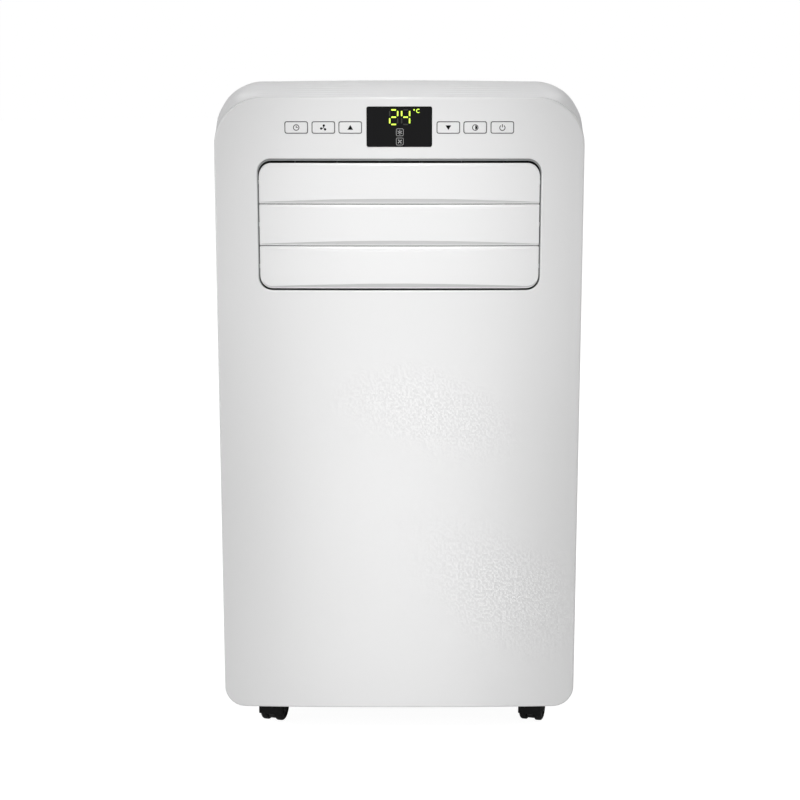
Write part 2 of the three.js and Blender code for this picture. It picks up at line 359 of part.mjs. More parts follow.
add("slinger_motor", union([cylY(16, 68, 99, 186, 82, 12), cylY(2.2, 98, 108, 186, 82, 8), box(178, 194, 70, 93.5, 46.4, 70)]), "steel_grey");
{
  const list = [cylY(8, 103, 112, 186, 82, 10), cylY(14, 104, 106, 186, 82, 14)];
  for (let i = 0; i < 6; i++) list.push(solid(new THREE.BoxGeometry(3, 8, 12).translate(0, 108, 14).rotateY((2 * Math.PI * i) / 6).translate(186, 0, 82)));
  add("slinger_wheel", union(list).subtract(cylY(2.6, 100, 109, 186, 82, 8)), "rubber_black");
}

// ---------------------------------------------------------------- casters
// Built about the stem, wheels trailing along local +Y, then placed and swivelled.
for (const [name, x, y, turn] of CASTERS) {
  const g = new THREE.Group();
  g.position.set(x, y, 0);
  g.rotation.z = (-turn * Math.PI) / 180;
  root.add(g);
  const ringShape = (r0, r1, a0, a1, n) => { const p = []; for (let i = 0; i <= n; i++) { const a = a0 + ((a1 - a0) * i) / n; p.push([TRAIL + r1 * Math.cos(a), WHEEL_R + r1 * Math.sin(a)]); } for (let i = n; i >= 0; i--) { const a = a0 + ((a1 - a0) * i) / n; p.push([TRAIL + r0 * Math.cos(a), WHEEL_R + r0 * Math.sin(a)]); } return shapeOf(p); };
  const D = Math.PI / 180;
  const hood = alongX(ringShape(18, 19.6, 35 * D, 190 * D, 8), -14.5, 14.5);
  const web = alongX(ringShape(0.01, 19, -18 * D, 196 * D, 10), -4.3, 4.3).add(cylX(15, -4.3, 4.3, TRAIL, WHEEL_R, 18));
  const neck = cylZ(9, 30, 41, 0, 0, 10), crown = cylZ(13, 39, 42.8, 0, 0, 10), stem = cylZ(5, 42, 62, 0, 0, 8), axle = cylX(3, -12, 12, TRAIL, WHEEL_R, 8);
  add(name + "_fork", union([hood, web, neck, crown, stem, axle]), "caster_black", g);
  const n = 14, R = WHEEL_R / Math.cos(Math.PI / n);
  for (const s of [-1, 1]) {
    const prof = [[3.6, 4.9], [R, 4.9], [R, 12.2], [R - 2.2, 14.3], [5.5, 14.3], [3.6, 12.4], [3.6, 4.9]];
    const w = solid(turned(prof, n).rotateY(Math.PI / n).rotateZ(-Math.PI / 2));
    add(name + (s < 0 ? "_wheel_left" : "_wheel_right"), (s > 0 ? w : w.rotate([0, 180, 0])).translate([0, TRAIL, WHEEL_R]), "caster_black", g);
  }
}

export default root;
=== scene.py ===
import json, math
import bpy, bmesh
import numpy as np
from mathutils import Vector, Matrix
from mathutils.geometry import delaunay_2d_cdt

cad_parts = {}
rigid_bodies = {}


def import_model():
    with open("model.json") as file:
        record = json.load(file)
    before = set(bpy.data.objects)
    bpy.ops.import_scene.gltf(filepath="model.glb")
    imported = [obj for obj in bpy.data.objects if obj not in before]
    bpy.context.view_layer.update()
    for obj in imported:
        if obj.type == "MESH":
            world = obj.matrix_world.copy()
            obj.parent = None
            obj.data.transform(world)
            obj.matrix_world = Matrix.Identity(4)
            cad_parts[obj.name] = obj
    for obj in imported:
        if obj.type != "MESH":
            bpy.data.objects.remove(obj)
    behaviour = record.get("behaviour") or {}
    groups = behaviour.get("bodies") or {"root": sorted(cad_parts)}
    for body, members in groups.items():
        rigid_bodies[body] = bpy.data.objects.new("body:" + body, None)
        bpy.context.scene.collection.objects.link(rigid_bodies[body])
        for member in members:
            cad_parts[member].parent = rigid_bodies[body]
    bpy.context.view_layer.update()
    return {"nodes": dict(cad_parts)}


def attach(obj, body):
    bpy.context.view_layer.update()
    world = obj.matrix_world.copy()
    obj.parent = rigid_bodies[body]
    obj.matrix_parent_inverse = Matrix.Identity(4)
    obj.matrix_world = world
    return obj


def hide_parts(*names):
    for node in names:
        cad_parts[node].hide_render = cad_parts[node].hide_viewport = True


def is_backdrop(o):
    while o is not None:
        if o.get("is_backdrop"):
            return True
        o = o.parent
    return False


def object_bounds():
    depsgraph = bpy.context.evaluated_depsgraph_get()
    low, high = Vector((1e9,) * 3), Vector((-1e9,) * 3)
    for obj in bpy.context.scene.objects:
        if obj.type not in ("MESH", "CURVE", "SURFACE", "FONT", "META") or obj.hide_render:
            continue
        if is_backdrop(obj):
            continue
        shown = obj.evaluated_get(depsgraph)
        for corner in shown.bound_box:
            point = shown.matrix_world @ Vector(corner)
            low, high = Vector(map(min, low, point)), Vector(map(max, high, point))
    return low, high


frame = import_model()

PI = math.pi

# ------------------------------------------------------------------ the object's own surfaces, in millimetres
Y_FRONT, BOW, BOW_HALF, BOW_POW = -190.0, 5.0, 213.0, 2.4
HALF_W, Z_BASE, Z_PANEL_TOP, PANEL_HALF = 215.0, 38.0, 778.5, 214.0
Y_BACK, Y_TAIL = 178.0, 190.0
OUT_X, OUT_Z0, OUT_Z1, OUT_R = 164.5, 555.0, 708.0, 16.0
DISP_X, DISP_Z0, DISP_Z1 = 37.7, 721.5, 767.7
BUTTONS = [("timer", -118.4), ("fan", -87.2), ("up", -56.3), ("down", 56.3), ("mode", 87.2), ("power", 118.4)]
BTN_Z, BTN_W, BTN_H = 743.8, 27.0, 14.0
HANDLE = dict(y0=-30.0, y1=82.0, z0=688.0, z1=728.0)
UPPER, LOWER = (160.0, 503.0, 748.0), (155.0, 84.0, 334.0)
PORT_Z, PORT_R = 418.0, 66.0
DRAIN_CAP, DRAIN_PLUG, GLAND = (130.0, 452.0), (-120.0, 56.0), (180.0, 120.0)
CASTERS = [("caster_front_left", -162.5, -150.0, 15.0), ("caster_front_right", 162.5, -150.0, 15.0),
           ("caster_rear_left", -162.5, 122.0, 9.0), ("caster_rear_right", 162.5, 122.0, 22.0)]
WHEEL_R, TRAIL = 17.3, 21.0
TOP_LINE = [(-200, 775.8), (-178, 778.6), (-150, 782.1), (-120, 785.9), (-100, 788.3), (-85, 789.6), (-60, 790.3), (-30, 790.5), (0, 790.4),
            (40, 789.4), (80, 787.2), (120, 784.0), (150, 780.8), (178, 777.0), (200, 773.8)]


def yf(x):
    return Y_FRONT + BOW * min(abs(x) / BOW_HALF, 1.0) ** BOW_POW


_ty = np.array([p[0] for p in TOP_LINE], float)
_tz = np.array([p[1] for p in TOP_LINE], float)
_tm = np.gradient(_tz, _ty)


def top_z(y):
    """Height of the domed top along the depth, a smooth curve through the same points as the solid's."""
    y = min(max(y, -200), 200)
    i = int(min(max(np.searchsorted(_ty, y) - 1, 0), len(_ty) - 2))
    h = _ty[i + 1] - _ty[i]
    t = (y - _ty[i]) / h
    return float((2 * t**3 - 3 * t * t + 1) * _tz[i] + (t**3 - 2 * t * t + t) * h * _tm[i]
                 + (-2 * t**3 + 3 * t * t) * _tz[i + 1] + (t**3 - t * t) * h * _tm[i + 1])


def crown(x):
    """The top edge is a little higher in the middle than at its ends."""
    return 0.3 - 1.3 * min(abs(x) / 155.0, 1.0) ** 2


# ------------------------------------------------------------------ mesh building
class Mesh:
    def __init__(self):
        self.v, self.f, self.m = [], [], []

    def add(self, pts):
        n = len(self.v)
        self.v.extend((float(p[0]), float(p[1]), float(p[2])) for p in pts)
        return list(range(n, n + len(pts)))

    def face(self, idx, mat=0):
        self.f.append(tuple(idx))
        self.m.append(mat)

    def bridge(self, a, b, closed=True, mat=0):
        n = len(a)
        for i in range(n if closed else n - 1):
            j = (i + 1) % n
            self.face((a[i], a[j], b[j], b[i]), mat)

    def loft(self, rings, closed=True, cap=True, mat=0):
        ids = [self.add(r) for r in rings]
        for a, b in zip(ids, ids[1:]):
            self.bridge(a, b, closed, mat)
        if cap:
            self.face(ids[0][::-1], mat)
            self.face(ids[-1], mat)
        return ids

    def fill(self, outer, holes, to2d, from2d, spacing, mat=0):
        """Triangles between an outer loop and holes, with extra points on a grid, on the surface from2d."""
        loops = [outer] + list(holes)
        pts = [to2d(self.v[i]) for lp in loops for i in lp]
        ids = [i for lp in loops for i in lp]
        edges, n = [], 0
        for lp in loops:
            edges += [(n + k, n + (k + 1) % len(lp)) for k in range(len(lp))]
            n += len(lp)
        polys, n = [], 0
        for lp in loops:
            polys.append(np.array(pts[n:n + len(lp)]))
            n += len(lp)
        lo, hi = polys[0].min(0), polys[0].max(0)
        gx, gy = np.meshgrid(np.arange(lo[0] + spacing * 0.5, hi[0], spacing), np.arange(lo[1] + spacing * 0.5, hi[1], spacing))
        g = np.stack([gx.ravel(), gy.ravel()], 1)
        keep = inside(g, polys[0])
        for h in polys[1:]:
            keep &= ~inside(g, h)
        g = g[keep]
        if len(g):
            seg = []
            for p in polys:
                seg.append(np.concatenate([p, np.roll(p, -1, 0)], 1))
            seg = np.concatenate(seg)
            g = g[clearance(g, seg) > spacing * 0.45]
        extra = self.add([from2d(a, b) for a, b in g])
        pts += [tuple(q) for q in g]
        ids += extra
        vs, _, fs, orig, _, _ = delaunay_2d_cdt([Vector(p) for p in pts], edges, [], 0, 1e-7)
        back = [o[0] if o else None for o in orig]
        P = np.array([[v.x, v.y] for v in vs])
        F = np.array([list(f) for f in fs if len(f) == 3 and all(back[k] is not None for k in f)])
        c = P[F].mean(1)
        ok = inside(c, polys[0])
        for h in polys[1:]:
            ok &= ~inside(c, h)
        for f in F[ok]:
            self.face([ids[back[k]] for k in f], mat)


def inside(p, poly):
    x, y = p[:, 0], p[:, 1]
    r = np.zeros(len(p), bool)
    a, b = poly, np.roll(poly, -1, 0)
    for (x0, y0), (x1, y1) in zip(a, b):
        if y0 == y1:
            continue
        c = ((y0 > y) != (y1 > y)) & (x < (x1 - x0) * (y - y0) / (y1 - y0) + x0)
        r ^= c
    return r


def clearance(p, seg):
    best = np.full(len(p), 1e9)
    for x0, y0, x1, y1 in seg:
        d = np.array([x1 - x0, y1 - y0])
        l2 = float(d @ d) or 1e-12
        t = np.clip(((p[:, 0] - x0) * d[0] + (p[:, 1] - y0) * d[1]) / l2, 0, 1)
        best = np.minimum(best, np.hypot(p[:, 0] - x0 - t * d[0], p[:, 1] - y0 - t * d[1]))
    return best


def rr(x0, x1, z0, z1, rt, rb=None, n=6, nx=1, nz=1):
    """Rounded rectangle as a loop of points, counter-clockwise from the lower left corner's end."""
    rb = rt if rb is None else rb
    rt, rb = max(rt, 0.01), max(rb, 0.01)
    p = []

    def line(a, b, k):
        for i in range(1, k):
            t = i / k
            p.append((a[0] + (b[0] - a[0]) * t, a[1] + (b[1] - a[1]) * t))

    def arc(cx, cz, r, a0):
        for i in range(n + 1):
            a = a0 + PI / 2 * i / n
            p.append((cx + r * math.cos(a), cz + r * math.sin(a)))

    arc(x0 + rb, z0 + rb, rb, PI)
    line((x0 + rb, z0), (x1 - rb, z0), nx)
    arc(x1 - rb, z0 + rb, rb, -PI / 2)
    line((x1, z0 + rb), (x1, z1 - rt), nz)
    arc(x1 - rt, z1 - rt, rt, 0)
    line((x1 - rt, z1), (x0 + rt, z1), nx)
    arc(x0 + rt, z1 - rt, rt, PI / 2)
    line((x0, z1 - rt), (x0, z0 + rb), nz)
    return p


def quarter(r, n=5):
    """Steps of a rounded edge: how far in, and how far back, from the side round to the front."""
    return [(r * (1 - math.cos(t)), r * (1 - math.sin(t))) for t in (PI / 2 * i / n for i in range(n + 1))]


def lathe(m, profile, n, place, closed_profile=False, mat=0):
    """Revolve (radius, height) about the local Z axis; place maps a local point to the object's frame."""
    rings = []
    for r, h in profile:
        if r < 1e-6:
            rings.append(m.add([place((0, 0, h))]))
        else:
            rings.append(m.add([place((r * math.cos(2 * PI * k / n), r * math.sin(2 * PI * k / n), h)) for k in range(n)]))
    seq = list(zip(rings, rings[1:])) + ([(rings[-1], rings[0])] if closed_profile else [])
    for a, b in seq:
        if len(a) == 1 and len(b) == 1:
            continue
        for k in range(n):
            j = (k + 1) % n
            if len(a) == 1:
                m.face((a[0], b[j], b[k]), mat)
            elif len(b) == 1:
                m.face((a[k], a[j], b[0]), mat)
            else:
                m.face((a[k], a[j], b[j], b[k]), mat)


def bevelled(m, lo, hi, b=0.5, place=lambda p: p, mat=0):
    """A box with its edges taken off."""
    bm = bmesh.new()
    bmesh.ops.create_cube(bm, size=1.0)
    for v in bm.verts:
        for k in range(3):
            v.co[k] = lo[k] if v.co[k] < 0 else hi[k]
    bmesh.ops.bevel(bm, geom=list(bm.edges), offset=b, segments=2, profile=0.5, affect="EDGES")
    ids = m.add([place(tuple(v.co)) for v in bm.verts])
    bm.verts.index_update()
    for f in bm.faces:
        m.face([ids[v.index] for v in f.verts], mat)
    bm.free()


def make(name, m, mats, body, nodes=(), sharp=32, weld=0.0005, weighted=True):
    me = bpy.data.meshes.new(name)
    me.from_pydata([(x / 1000, y / 1000, z / 1000) for x, y, z in m.v], [], m.f)
    for p, k in zip(me.polygons, m.m):
        p.material_index = k
    bm = bmesh.new()
    bm.from_mesh(me)
    bmesh.ops.remove_doubles(bm, verts=bm.verts, dist=weld / 1000)
    bmesh.ops.dissolve_degenerate(bm, dist=1e-7, edges=bm.edges)
    loose = [v for v in bm.verts if not v.link_faces]
    bmesh.ops.delete(bm, geom=loose, context="VERTS")
    bmesh.ops.recalc_face_normals(bm, faces=bm.faces)
    bm.to_mesh(me)
    bm.free()
    me.shade_smooth()
    me.set_sharp_from_angle(angle=math.radians(sharp))
    o = bpy.data.objects.new(name, me)
    bpy.context.scene.collection.objects.link(o)
    for mt in (mats if isinstance(mats, (list, tuple)) else [mats]):
        me.materials.append(mt)
    if weighted:
        w = o.modifiers.new("weighted", "WEIGHTED_NORMAL")
        w.keep_sharp = True
        w.weight = 60
    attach(o, body)
    if nodes:
        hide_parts(*nodes)
    return o


# ------------------------------------------------------------------ materials
def material(name, base, rough, spread=0.05, tint=0.03, grain=1800.0, grain_h=0.00002, grain_s=0.25, blotch=7.0, metal=0.0,
             coat=0.0, coat_rough=0.2, ior=1.5, aniso=None, emit=None, emit_s=0.0, weave=None, fins=None, spec=0.5, sss=0.0):
    mt = bpy.data.materials.new(name)
    mt.use_nodes = True
    nt = mt.node_tree
    N, L = nt.nodes, nt.links
    b = N["Principled BSDF"]
    b.inputs["Metallic"].default_value = metal
    b.inputs["IOR"].default_value = ior
    b.inputs["Coat Weight"].default_value = coat
    b.inputs["Coat Roughness"].default_value = coat_rough
    b.inputs["Specular IOR Level"].default_value = spec
    if sss:
        b.inputs["Subsurface Weight"].default_value = sss
        b.inputs["Subsurface Radius"].default_value = (0.002, 0.002, 0.002)
        b.inputs["Subsurface Scale"].default_value = 0.6
    tc = N.new("ShaderNodeTexCoord")
    big = N.new("ShaderNodeTexNoise")
    big.inputs["Scale"].default_value = blotch
    big.inputs["Detail"].default_value = 5.0
    L.new(tc.outputs["Object"], big.inputs["Vector"])
    ramp = N.new("ShaderNodeMapRange")
    ramp.inputs["From Min"].default_value, ramp.inputs["From Max"].default_value = 0.3, 0.7
    ramp.inputs["To Min"].default_value, ramp.inputs["To Max"].default_value = rough - spread, rough + spread
    L.new(big.outputs["Fac"], ramp.inputs["Value"])
    L.new(ramp.outputs["Result"], b.inputs["Roughness"])
    mix = N.new("ShaderNodeMix")
    mix.data_type = "RGBA"
    mix.inputs["A"].default_value = (*[c * (1 - tint) for c in base], 1)
    mix.inputs["B"].default_value = (*[min(1, c * (1 + tint)) for c in base], 1)
    L.new(big.outputs["Fac"], mix.inputs["Factor"])
    colour = mix.outputs["Result"]
    fine = N.new("ShaderNodeTexNoise")
    fine.inputs["Scale"].default_value = grain
    fine.inputs["Detail"].default_value = 3.0
    L.new(tc.outputs["Object"], fine.inputs["Vector"])
    height = fine.outputs["Fac"]
    if weave or fins:
        sep = N.new("ShaderNodeSeparateXYZ")
        L.new(tc.outputs["Object"], sep.inputs["Vector"])

        def wave(axis, pitch):
            mul = N.new("ShaderNodeMath"); mul.operation = "MULTIPLY"; mul.inputs[1].default_value = 2 * PI / pitch
            L.new(sep.outputs[axis], mul.inputs[0])
            s = N.new("ShaderNodeMath"); s.operation = "SINE"
            L.new(mul.outputs[0], s.inputs[0])
            h = N.new("ShaderNodeMath"); h.operation = "MULTIPLY_ADD"; h.inputs[1].default_value = 0.5; h.inputs[2].default_value = 0.5
            L.new(s.outputs[0], h.inputs[0])
            return h.outputs[0]

        if weave:
            mx = N.new("ShaderNodeMath"); mx.operation = "MAXIMUM"
            L.new(wave("X", weave), mx.inputs[0])
            L.new(wave("Z", weave), mx.inputs[1])
            pat = mx.outputs[0]
        else:
            pat = wave(fins[0], fins[1])
        m2 = N.new("ShaderNodeMix"); m2.data_type = "RGBA"
        m2.inputs["A"].default_value = (*[c * 0.25 for c in base], 1)
        L.new(colour, m2.inputs["B"])
        L.new(pat, m2.inputs["Factor"])
        colour = m2.outputs["Result"]
        height = pat
    L.new(colour, b.inputs["Base Color"])
    if grain_s:
        bump = N.new("ShaderNodeBump")
        bump.inputs["Strength"].default_value = grain_s
        bump.inputs["Distance"].default_value = grain_h
        L.new(height, bump.inputs["Height"])
        L.new(bump.outputs["Normal"], b.inputs["Normal"])
    if emit:
        b.inputs["Emission Color"].default_value = (*emit, 1)
        b.inputs["Emission Strength"].default_value = emit_s
    return mt


SHELL = material("shell_white", (0.80, 0.80, 0.80), 0.34, spread=0.04, tint=0.012, grain_s=0.0, coat=0.25, coat_rough=0.12)
CASE = material("casing_white", (0.76, 0.76, 0.765), 0.40, spread=0.05, tint=0.014, grain_s=0.0, coat=0.12, coat_rough=0.2)
SLAT = material("louver_white", (0.835, 0.835, 0.835), 0.33, spread=0.04, tint=0.012, grain_s=0.0, coat=0.25, coat_rough=0.12)
KEY = material("button_white", (0.80, 0.80, 0.80), 0.38, spread=0.04, tint=0.012, grain_s=0.0, coat=0.1)
INK = material("key_ink", (0.004, 0.004, 0.004), 0.6, spec=0.1, spread=0.06, tint=0.1, grain=4000, grain_h=0.00001)
# a darker copy of the louvre white: painted shade for the downward-facing bevels of the blades
SLAT_PAINTED_SHADE = material("louver_white_painted_shade", (0.66, 0.66, 0.66), 0.40, spread=0.04, tint=0.012, grain_s=0.0)
LENS = material("display_black", (0.0045, 0.0045, 0.005), 0.12, spread=0.02, tint=0.1, grain=600, grain_h=0.00001, grain_s=0.02, spec=0.14)
LED = material("digit_lit", (0.35, 0.5, 0.05), 0.4, tint=0.02, emit=(0.62, 0.95, 0.07), emit_s=1.35)
LED_DIM = material("digit_unlit", (0.018, 0.02, 0.014), 0.3, tint=0.05)
ICON = material("icon_grey", (0.22, 0.22, 0.22), 0.4, tint=0.02, emit=(0.8, 0.8, 0.8), emit_s=0.15)
CASTER = material("caster_black", (0.006, 0.006, 0.0063), 0.50, spec=0.16, spread=0.08, tint=0.12, grain=900, grain_h=0.00006, grain_s=0.3, blotch=40)
TYRE = material("caster_tread", (0.008, 0.008, 0.008), 0.65, spec=0.16, spread=0.08, tint=0.15, grain=700, grain_h=0.0001, grain_s=0.4, blotch=60)
BLACK = material("inner_black", (0.018, 0.018, 0.019), 0.5, spread=0.08, tint=0.1, grain=900, grain_h=0.00005)
DUCT = material("inner_grey", (0.05, 0.05, 0.052), 0.55, spread=0.08, tint=0.06, grain=900, grain_h=0.00005)
GASKET = material("gasket_grey", (0.07, 0.07, 0.07), 0.7, tint=0.03)
# grey of the moulded parts inside; on the ring behind the louvre opening the same grey is painted shade
GREY_AND_GAP_SHADE = material("moulded_grey_and_gap_shade", (0.30, 0.31, 0.31), 0.55, spread=0.08, tint=0.06, grain=900, grain_h=0.00005)
FILTER = material("filter_grey", (0.11, 0.115, 0.12), 0.75, spread=0.06, tint=0.06, weave=0.0016, grain_h=0.0003, grain_s=0.8)
FRAME = material("filter_frame", (0.10, 0.10, 0.105), 0.5, spread=0.08, tint=0.06)
COIL = material("coil_aluminium", (0.72, 0.73, 0.75), 0.32, metal=1.0, tint=0.05, fins=("X", 0.0018), grain_h=0.0004, grain_s=0.8)
COPPER = material("copper", (0.72, 0.33, 0.18), 0.28, spread=0.1, metal=1.0, tint=0.15, blotch=60)
STEEL = material("steel_grey", (0.55, 0.56, 0.57), 0.34, spread=0.08, metal=1.0, tint=0.06, blotch=30)
PAINT = material("compressor_black", (0.014, 0.014, 0.015), 0.35, spread=0.08, tint=0.1, blotch=30, coat=0.3)
BOARD = material("board_green", (0.012, 0.07, 0.03), 0.4, spread=0.1, tint=0.1, blotch=80)
RUBBER = material("rubber_black", (0.015, 0.015, 0.015), 0.7, spread=0.06, tint=0.1, grain=900, grain_h=0.00006)

# ------------------------------------------------------------------ front panel
def panel_outline(ins, dy):
    p = rr(-PANEL_HALF + ins, PANEL_HALF - ins, Z_BASE + ins, Z_PANEL_TOP - ins, 57 - ins, 25 - ins, n=14, nx=44, nz=60)
    out = []
    for x, z in p:
        s = min(max((z - (Z_PANEL_TOP - 57)) / (57 - ins), 0), 1)
        out.append((x, yf(x) + dy, z + crown(x) * s))
    return out


def hole(x0, x1, z0, z1, r, grow, dy, n, nx, nz):
    return [(x, yf(x) + dy, z) for x, z in rr(x0 - grow, x1 + grow, z0 - grow, z1 + grow, r + grow, n=n, nx=nx, nz=nz)]


m = Mesh()
R_EDGE, T_PANEL = 2.6, 3.0
rings = [panel_outline(i, d) for i, d in [(T_PANEL, T_PANEL + 0.5), (T_PANEL, 11.2), (T_PANEL - 0.5, 11.7), (0.5, 11.7), (0, 11.2)] + quarter(R_EDGE, 7)]
ids = m.loft(rings, cap=False)
specs = [(-OUT_X, OUT_X, OUT_Z0, OUT_Z1, OUT_R, 1.6, 10, 40, 18), (-DISP_X, DISP_X, DISP_Z0, DISP_Z1, 2.4, 0.5, 5, 10, 6)]
specs += [(x - BTN_W / 2, x + BTN_W / 2, BTN_Z - BTN_H / 2, BTN_Z + BTN_H / 2, 2.4, 0.35, 5, 5, 3) for _, x in BUTTONS]
fronts, backs = [], []
for x0, x1, z0, z1, r, rim, n, nx, nz in specs:
    hr = [hole(x0, x1, z0, z1, r, g, d, n, nx, nz) for g, d in [(rim * (1 - math.sin(a)), rim * (1 - math.cos(a))) for a in (PI / 2 * k / 4 for k in range(5))]]
    hr.append(hole(x0, x1, z0, z1, r, 0, T_PANEL, n, nx, nz))
    hi = m.loft(hr, cap=False)
    fronts.append(hi[0])
    backs.append(hi[-1])
xz = lambda p: (p[0], p[2])
m.fill(ids[-1], fronts, xz, lambda x, z: (x, yf(x), z), 9.0)
inner = m.add([(x, yf(x) + T_PANEL, z) for x, _, z in panel_outline(T_PANEL + 0.6, 0)])
m.bridge(ids[0], inner)
m.fill(inner, backs, xz, lambda x, z: (x, yf(x) + T_PANEL, z), 18.0)
panel = make("front_panel_skin", m, SHELL, "cabinet", ["front_panel"])

# ------------------------------------------------------------------ casing
RIB_PITCH, RIB_Y0, RIB_N = 14.3, -178.0, 24


def shoulder(y):
    """Radius of the casing's top corners: 57 at the seam with the front panel, opening out to 43 behind it."""
    t = min(max((y + 171.0) / 38.0, 0.0), 1.0)
    return 57.0 - 14.0 * t * t * (3 - 2 * t)


def case_loop(ins, y, bend, turn=0.0):
    """One closed section of the casing. y is its station; bend carries the bowed front edge into the first stations,
    and turn is how far the section has drawn in round the rear edge."""
    n = 12
    side_z = [z for z in (120, 200, 280, 360, 440, 520, 600, 660)]
    p = []
    hw, zb = HALF_W - ins - turn, Z_BASE + ins + 0.4 * turn
    rt, rb = shoulder(y) - ins - turn, max(25 - ins - 0.7 * turn, 0.5)
    yy = lambda x: y + bend * (yf(x) - Y_FRONT - BOW)

    def put(x, z):
        p.append((x, yy(x), z))

    lim = hw - rb
    for i in range(n + 1):
        a = PI + PI / 2 * i / n
        put(-hw + rb + rb * math.cos(a), zb + rb + rb * math.sin(a))
    for i in range(21):
        put(-(lim - 1) + 2 * (lim - 1) * i / 20, zb)
    for i in range(n + 1):
        a = -PI / 2 + PI / 2 * i / n
        put(hw - rb + rb * math.cos(a), zb + rb + rb * math.sin(a))
    zt = lambda x: top_z(yy(x)) - ins - turn
    zc = lambda x: zt(x) - rt
    for z in side_z + [HANDLE["z0"] - 10, HANDLE["z1"] + 2.2]:
        put(hw, min(z, zc(hw) - 0.3))
    m_top = 16
    for i in range(m_top + 1):
        a = PI / 2 * i / m_top
        x = hw - rt + rt * math.cos(a)
        put(x, zc(x) + rt * math.sin(a) + crown(x) * math.sin(a) + (groove(x, yy(x)) if ins + turn < 0.5 else 0))
    xt = [hw - rt - d for d in (1.5, 5, 10, 17)] + [134, 118, 100, 80, 60, 40, 20, 0]
    xt = xt + [-x for x in xt[-2::-1]]
    for x in xt:
        put(x, zt(x) + crown(x) + (groove(x, yy(x)) if ins + turn < 0.5 else 0))
    for i in range(m_top + 1):
        a = PI / 2 + PI / 2 * i / m_top
        x = -hw + rt + rt * math.cos(a)
        put(x, zc(x) + rt * math.sin(a) + crown(x) * math.sin(a) + (groove(x, yy(x)) if ins + turn < 0.5 else 0))
    for z in [HANDLE["z1"] + 2.2, HANDLE["z0"] - 10] + side_z[::-1]:
        put(-hw, min(z, zc(-hw) - 0.3))
    return p


def groove(x, y):
    """Shallow rounded channels across the top, which fade out at their ends."""
    k = round((y - RIB_Y0) / RIB_PITCH)
    if k < 1 or k >= RIB_N or abs(x) > 170:
        return 0.0
    d = abs(y - RIB_Y0 - k * RIB_PITCH)
    if d >= 2.4:
        return 0.0
    fade = min(1.0, (170 - abs(x)) / 6.0)
    return -1.25 * fade * (0.5 + 0.5 * math.cos(PI * d / 2.4))


m = Mesh()
ys = []
for k in range(RIB_N):
    c = RIB_Y0 + k * RIB_PITCH
    ys += [c + d for d in (-2.4, -1.5, -0.7, 0, 0.7, 1.5, 2.4, 6.2)]
ys = [y for y in ys if -167.4 < y < 163]
hy = [HANDLE["y0"] - 12, HANDLE["y1"] + 12]
ys = sorted(set([round(y, 3) for y in ys] + hy))
R_BACK = 14.0
front_st = [(-173.0, 1.0), (-171.0, 0.7), (-169.5, 0.4), (-168.2, 0.15)]


def skin(ins, y_end, r_back):
    st = [(0.0, y, b) for y, b in front_st] + [(0.0, y, 0.0) for y in ys if y < y_end - r_back - 1]
    q = [(i, y_end - d) for i, d in quarter(r_back, 7)]
    # quarter() goes from the side (in 0, back r) to the face (in r, back 0); here depth runs the other way
    st += [(i, y, 0.0) for i, y in q]
    return [case_loop(ins, y, b, i) for i, y, b in st], st


outer_rings, outer_st = skin(0.0, Y_BACK, R_BACK)
inner_rings, inner_st = skin(3.0, Y_BACK - 3.0, R_BACK - 3.0)
oi = [m.add(r) for r in outer_rings]
ii = [m.add(r) for r in inner_rings]
N_C, N_B = 13, 21  # points of a bottom corner, and of the bottom
n_loop = len(outer_rings[0])
b0, b1 = N_C, N_C + N_B - 1  # indices of the bottom's ends
r_side = list(range(b1 + 1 + N_C, b1 + 1 + N_C + 10))
right_lo, right_hi = r_side[8], r_side[9]
l_start = r_side[-1] + 1 + 17 + 23 + 17
left_hi, left_lo = l_start, l_start + 1


def shell_faces(idx, st, holes):
    for a in range(len(idx) - 1):
        for i in range(n_loop):
            j = (i + 1) % n_loop
            if b0 <= i < b1 and st[a + 1][1] <= 165:
                continue  # the open bottom
            y0, y1 = st[a][1], st[a + 1][1]
            if st[a][2] == 0 and y0 >= hy[0] - 0.01 and y1 <= hy[1] + 0.01 and i in holes:
                continue  # the handle's window
            m.face((idx[a][i], idx[a][j], idx[a + 1][j], idx[a + 1][i]))


shell_faces(oi, outer_st, (right_lo, left_hi))
shell_faces(ii, inner_st, (right_lo, left_hi))


def window(idx, st, lo_i, hi_i, sx, ins, r):
    rows = [a for a in range(len(idx)) if st[a][2] == 0 and hy[0] - 0.01 <= st[a][1] <= hy[1] + 0.01]
    loop = [idx[a][lo_i] for a in rows] + [idx[a][hi_i] for a in reversed(rows)]
    return loop


def yz_hole(grow, x, n=8):
    return [(x, y, z) for y, z in rr(HANDLE["y0"] - grow, HANDLE["y1"] + grow, HANDLE["z0"] - grow, HANDLE["z1"] + grow, 10 + grow, n=n, nx=12, nz=3)]


yz = lambda p: (p[1], p[2])
for s, lo_i, hi_i in ((1, right_lo, right_hi), (-1, left_lo, left_hi)):
    rim = 1.2
    rings = [yz_hole(rim * (1 - math.sin(a)), s * (HALF_W - rim * (1 - math.cos(a)))) for a in (PI / 2 * k / 4 for k in range(5))]
    rings.append(yz_hole(0, s * (HALF_W - 3)))
    h = m.loft(rings, cap=False)
    m.fill(window(oi, outer_st, lo_i, hi_i, s, 0, 0), [h[0]], yz, lambda y, z, s=s: (s * HALF_W, y, z), 7.0)
    m.fill(window(ii, inner_st, lo_i, hi_i, s, 3, 0), [h[-1]], yz, lambda y, z, s=s: (s * (HALF_W - 3), y, z), 9.0)

# rear face, with its windows
def rear_hole(kind, a, y, grow):
    if kind == "rr":
        hx, z0, z1 = a
        return [(x, y, z) for x, z in rr(-hx - grow, hx + grow, z0 - grow, z1 + grow, 6 + grow, n=6, nx=16, nz=14)]
    x0, z0, r, n = a
    return [(x0 + (r + grow) * math.cos(2 * PI * k / n), y, z0 + (r + grow) * math.sin(2 * PI * k / n)) for k in range(n)]


